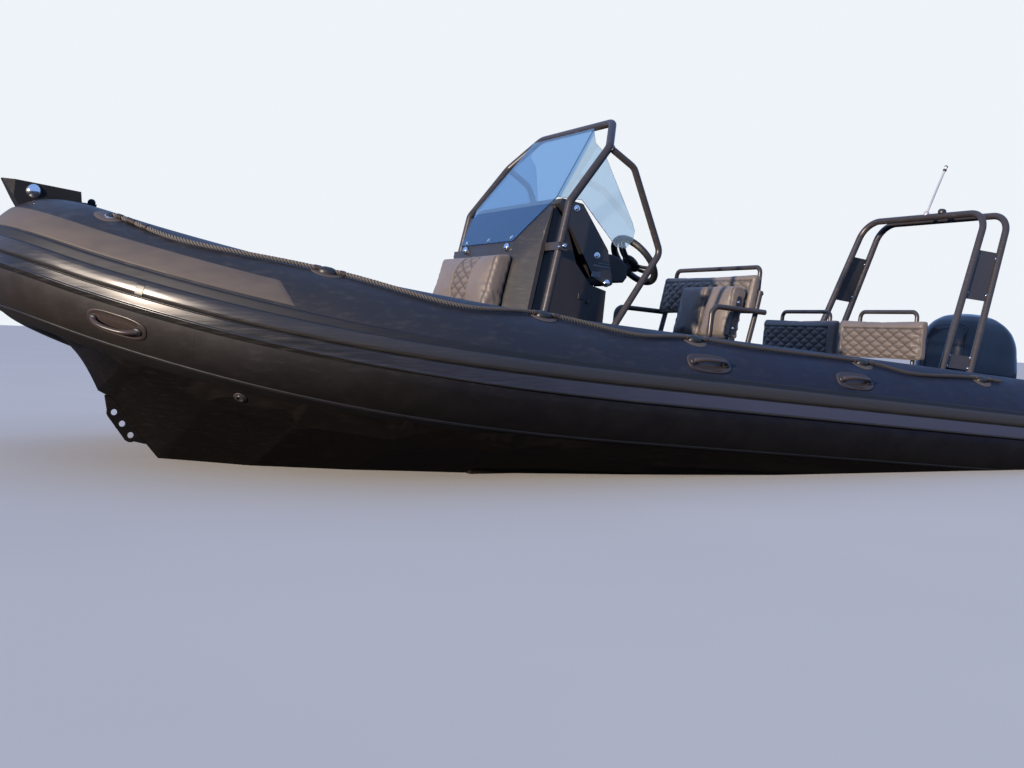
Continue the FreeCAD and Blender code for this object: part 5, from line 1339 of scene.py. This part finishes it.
# Cushions: the ways each faces and stands, its quilt's left, right, low and top borders and its upright seams
# as shares of half its size, its body, and the sizes of its quilting and cloth
back, tipped = ((1, 0, 0), (0, 0, 1)), ((0.989, 0, 0.147), (-0.147, 0, 0.989))
lain, raised = ((0, 0, 1), (1, 0, 0)), [turned(way, squab["lean"]) for way in back]
pads = dict(
    front_pad=(((0.98, 0, 0.2), (-0.2, 0, 0.98)), (0.12, 0.41, 0.97, 0.97), (0.92,), "boat",
               dict(pitch=88, voxel=10, depth=7.0)),
    squab_port=(raised, None, (0.86, -0.86), "squab_port_body", dict(voxel=9, pressure=4.0)),
    squab_starboard=(raised, None, (0.86, -0.86), "squab_starboard_body", dict(voxel=9, pressure=4.0)),
    helm_backrest=(tipped, (0.92, 0.92, 0.9, 0.62), (), "boat", dict(pitch=76, voxel=10, depth=7.0)),
    stern_backrest_port=(back, (0.84, 0.97, 0.95, 0.58), (), "boat", dict(pitch=84, voxel=10, depth=8.0)),
    stern_backrest_starboard=(back, (0.97, 0.84, 0.95, 0.58), (), "boat",
                              dict(pitch=84, voxel=10, depth=8.0)),
    bench_cushion=(lain, (0.94, 0.94, 0.86, 0.86), (0.0,), "stern_lid", dict(pitch=90, voxel=13)),
    console_seat_cushion=(lain, (0.88, 0.88, 0.86, 0.86), (), "console_lid", dict(pitch=80, voxel=12)))


for name, (ways, quilt, seams, body, sizes) in pads.items():
    buildPad(name, *ways, quilt, seams, body, **sizes)
print("pads done")


def leaned(x, y, z):
    """A point of an upright squab, laid back about its hinge."""
    return turned(np.array([x, y, z], float) - squab["hinge"], squab["lean"]) + squab["hinge"]


def buildSeats():
    dressedAll(helm_base=("console", 4), squab_bracket_port=("frame", 1),
               squab_bracket_starboard=("frame", 1), bench=("console", 4), bench_lid=("console", 3))
    for side, face, way in squab["faces"]:
        body = f"squab_{side}_body"
        low, high = sorted((face - 2 * way, face + 5 * way))
        outline = [leaned(x, 0, z)[::2] for x, z in squab["plate"]]
        piece("squabPlate" + side.title(), slab(outline, low, high), "black", body=body, bevel=1.5,
              slotName="graphite_paint")
        bolts = [screwChunk(leaned(2082, face + way * 5, z), (0, way, 0), 9.0, 6.0) for z in squab["bolts"]]
        piece("squabBolts" + side.title(), joined(*bolts), "steel", body=body)
    # Vents on each side of the helm base, drawn as thin near-black strips: painted shade standing for the
    # openings
    vents = [blockChunk((x, 339, 40), (x + 16, 341.6, 150)) for x in range(2090, 2260, 34)]
    piece("helmVents", bothSides(*vents), "gauge", bevel=1)


buildSeats()
print("seats done")


# Arch fittings, lamp and aerial
lampPost = dict(foot=(372.0, 20, 1246), rise=(-118, 0, 290), radius=6.4,
                socket=((16, -8), (17, 2), (15, 12), (9, 17), (6, 19)),
                base=((8, -6), (11, -3), (11, 6), (9, 8)), lens=((9, 6), (9.6, 8), (9.6, 23), (9, 25)),
                lid=((11, 24), (11, 29), (8, 32), (1, 33)))
aerial = dict(place=(372, 138, 1244.6), profile=((24, -2), (24.4, 3), (24, 11), (22.5, 17), (19, 21.5),
                                                 (13, 24.4), (6, 25.4), (0.5, 25.6)))


def legPoint(leg, z):
    """The point of an arch leg at a height."""
    foot, top = np.array(leg, float)
    return foot + (top - foot) * (z - foot[2]) / (top[2] - foot[2])


def buildArchFittings():
    screws = []
    for low, high in ((706, 996), (300, 378)):
        corners = [legPoint(arch[leg], z)
                   for leg, z in (("aft", low), ("fore", low), ("fore", high), ("aft", high))]
        normal = positive(unit(np.cross(corners[1] - corners[0], corners[3] - corners[0])), 1)
        middle = sum(corners) / 4
        for corner in corners:
            spot = corner + (middle - corner) * 0.24
            screws += [screwChunk(spot + normal * 3.0 * face, normal * face, 8.5, 5.0) for face in (1, -1)]
    piece("archScrews", bothSides(*screws), "steel")
    foot = np.array(lampPost["foot"])
    top = foot + lampPost["rise"]
    way = unit(top - foot)
    socket = latheChunk(lampPost["socket"], foot, (0, 0, 1), 28)
    stalk = tubeChunk(np.linspace(foot + way * 8, top, 4), lampPost["radius"], 14)
    piece("lightStalk", joined(socket, stalk), "stalk", "stern_light")
    base, lens, lid = [latheChunk(lampPost[part], top, way, 24) for part in ("base", "lens", "lid")]
    piece("lightHead", joined(base, lid), "black")
    piece("lightLens", lens, "lens")
    piece("aerialDome", latheChunk(aerial["profile"], aerial["place"], (0, 0, 1), 36), "black", "aerial_dome")


buildArchFittings()
print("arch fittings done")


# Outboard: the cowl's sections as (height, fore end, aft end, half breadth, fore and aft corner), the depth,
# height and width of the waist band and of the crease under the lid, and the steps of its crown
motor = dict(cowl=((118, 138, -408, 206, 118, 96), (213, 150, -426, 215, 124, 110),
                   (433, 140, -428, 213, 130, 118), (540, 120, -404, 203, 130, 118),
                   (600, 90, -364, 186, 124, 112), (645, 44, -306, 156, 112, 100),
                   (672, -10, -248, 118, 88, 82), (684, -60, -200, 78, 60, 58)), sides=84, shoulder=520,
             grooves=((4.0, 178, 9), (2.2, 452, 7)), crown=((0.72, 1.6), (0.4, 2.8), (0.12, 3.2)),
             latch=((-422, -26, 128), (-420, 26, 158)), anode=((12, 0), (12, 12), (9, 14), (1, 14)))


def roundRect(fore, aft, half, foreCorner, aftCorner, count):
    """An even loop of points round a plan outline with round corners."""
    loop = []
    for x, y, r, start in ((fore, half, foreCorner, 0), (aft, half, aftCorner, 90),
                           (aft, -half, aftCorner, 180), (fore, -half, foreCorner, 270)):
        cx, cy = x - math.copysign(r, x - (fore + aft) / 2), y - math.copysign(r, y)
        turn = np.radians(np.linspace(start, start + 90, 15))
        loop.append(np.stack([cx + r * np.cos(turn), cy + r * np.sin(turn)], -1))
    loop = np.concatenate(loop + [loop[0][:1]])
    run = runAlong(loop)
    at = np.linspace(0, run[-1], count, endpoint=False)
    return np.stack([np.interp(at, run, loop[:, 0]), np.interp(at, run, loop[:, 1])], -1)


def between(table, at):
    """A smooth reading of a table whose first column is the height."""
    table = np.array(table, float)
    z = table[:, 0]
    slopes = np.gradient(table[:, 1:], z, axis=0)
    i = np.clip(np.searchsorted(z, at, "right") - 1, 0, len(z) - 2)
    h = z[i + 1] - z[i]
    t = (at - z[i]) / h
    p, q, m, n = table[i, 1:], table[i + 1, 1:], slopes[i] * h, slopes[i + 1] * h
    return ((2 * t ** 3 - 3 * t ** 2 + 1) * p + (t ** 3 - 2 * t ** 2 + t) * m +
            (3 * t ** 2 - 2 * t ** 3) * q + (t ** 3 - t ** 2) * n)


def buildCowl():
    low, shoulder, high = motor["cowl"][0][0], motor["shoulder"], motor["cowl"][-1][0]
    levels = np.concatenate([np.linspace(low, shoulder, 22),
                             shoulder + (high - shoulder) * np.sin(np.linspace(0, np.pi / 2, 24)[1:])])
    rows = []
    for z in levels:
        fore, aft, half, foreCorner, aftCorner = between(motor["cowl"], z)
        draw = sum(depth * math.exp(-((z - level) / width) ** 2) for depth, level, width in motor["grooves"])
        loop = roundRect(fore - draw, aft + draw, half - draw, foreCorner, aftCorner, motor["sides"])
        rows.append(np.column_stack([loop, np.full(motor["sides"], z)]))
    first, last = rows[0], rows[-1]
    rows += [last.mean(0) + (last - last.mean(0)) * share + (0, 0, rise) for share, rise in motor["crown"]]
    rows.insert(0, (first - first.mean(0)) * (0.97, 0.97, 1) + first.mean(0))
    piece("engineCowl", loopGrid(np.array(rows)), "cowl", "engine_cowl", "powerhead", body="engine", sharp=50)
    piece("cowlLatch", blockChunk(*motor["latch"]), "black", body="engine", bevel=3)


def buildEngine():
    buildCowl()
    dressed("engine_leg", "engine", 4, segments=3)
    dressed("gearcase", "engine", 4, segments=3)
    dressedAll(swivel_bracket=("engine", 3), clamp_bracket=("engine", 3), propeller=("propeller", 1.2))
    anodes = [latheChunk(motor["anode"], (-300, side * 18, -880), (0, side, 0), 20) for side in (1, -1)]
    piece("engineAnodes", joined(*anodes), "propeller", body="engine")


buildEngine()
print("engine done")


# Raised non-slip strips on the sole, and the drain boss on each bow
treads = dict(runs=((1450, 1930), (2370, 2850), (3940, 4260)), rows=range(-400, 500, 100), halfWidth=3,
              levels=(-130.2, -127.4))
drain = dict(place=(4706.7, 802.7, -179.6), out=(0.404, 0.465, -0.787),
             profile=((26, -3), (27, 1.5), (25, 4), (17, 6), (15.5, 8), (12, 8.4), (11, 4), (1, 3.6)))
strips = [slab(rectangle(x0, y - treads["halfWidth"], x1, y + treads["halfWidth"]), *treads["levels"], axis=2)
          for x0, x1 in treads["runs"] for y in treads["rows"]]
piece("deckTreads", joined(*strips), "deck", bevel=1)
piece("hullDrains", bothSides(latheChunk(drain["profile"], drain["place"], drain["out"], 28)), "frame",
      slotName="powder_coated_hull")
print("details done")

lookOfSlot = {slotName: name for name, slotName in slotOfLook.items()}
slotOfNode = {part["node"]: part["material_slot"] for part in frame["record"]["subparts"]}
for name, node in frame["nodes"].items():
    node.data.materials.clear()
    node.data.materials.append(look[lookOfSlot[slotOfNode[name]]])
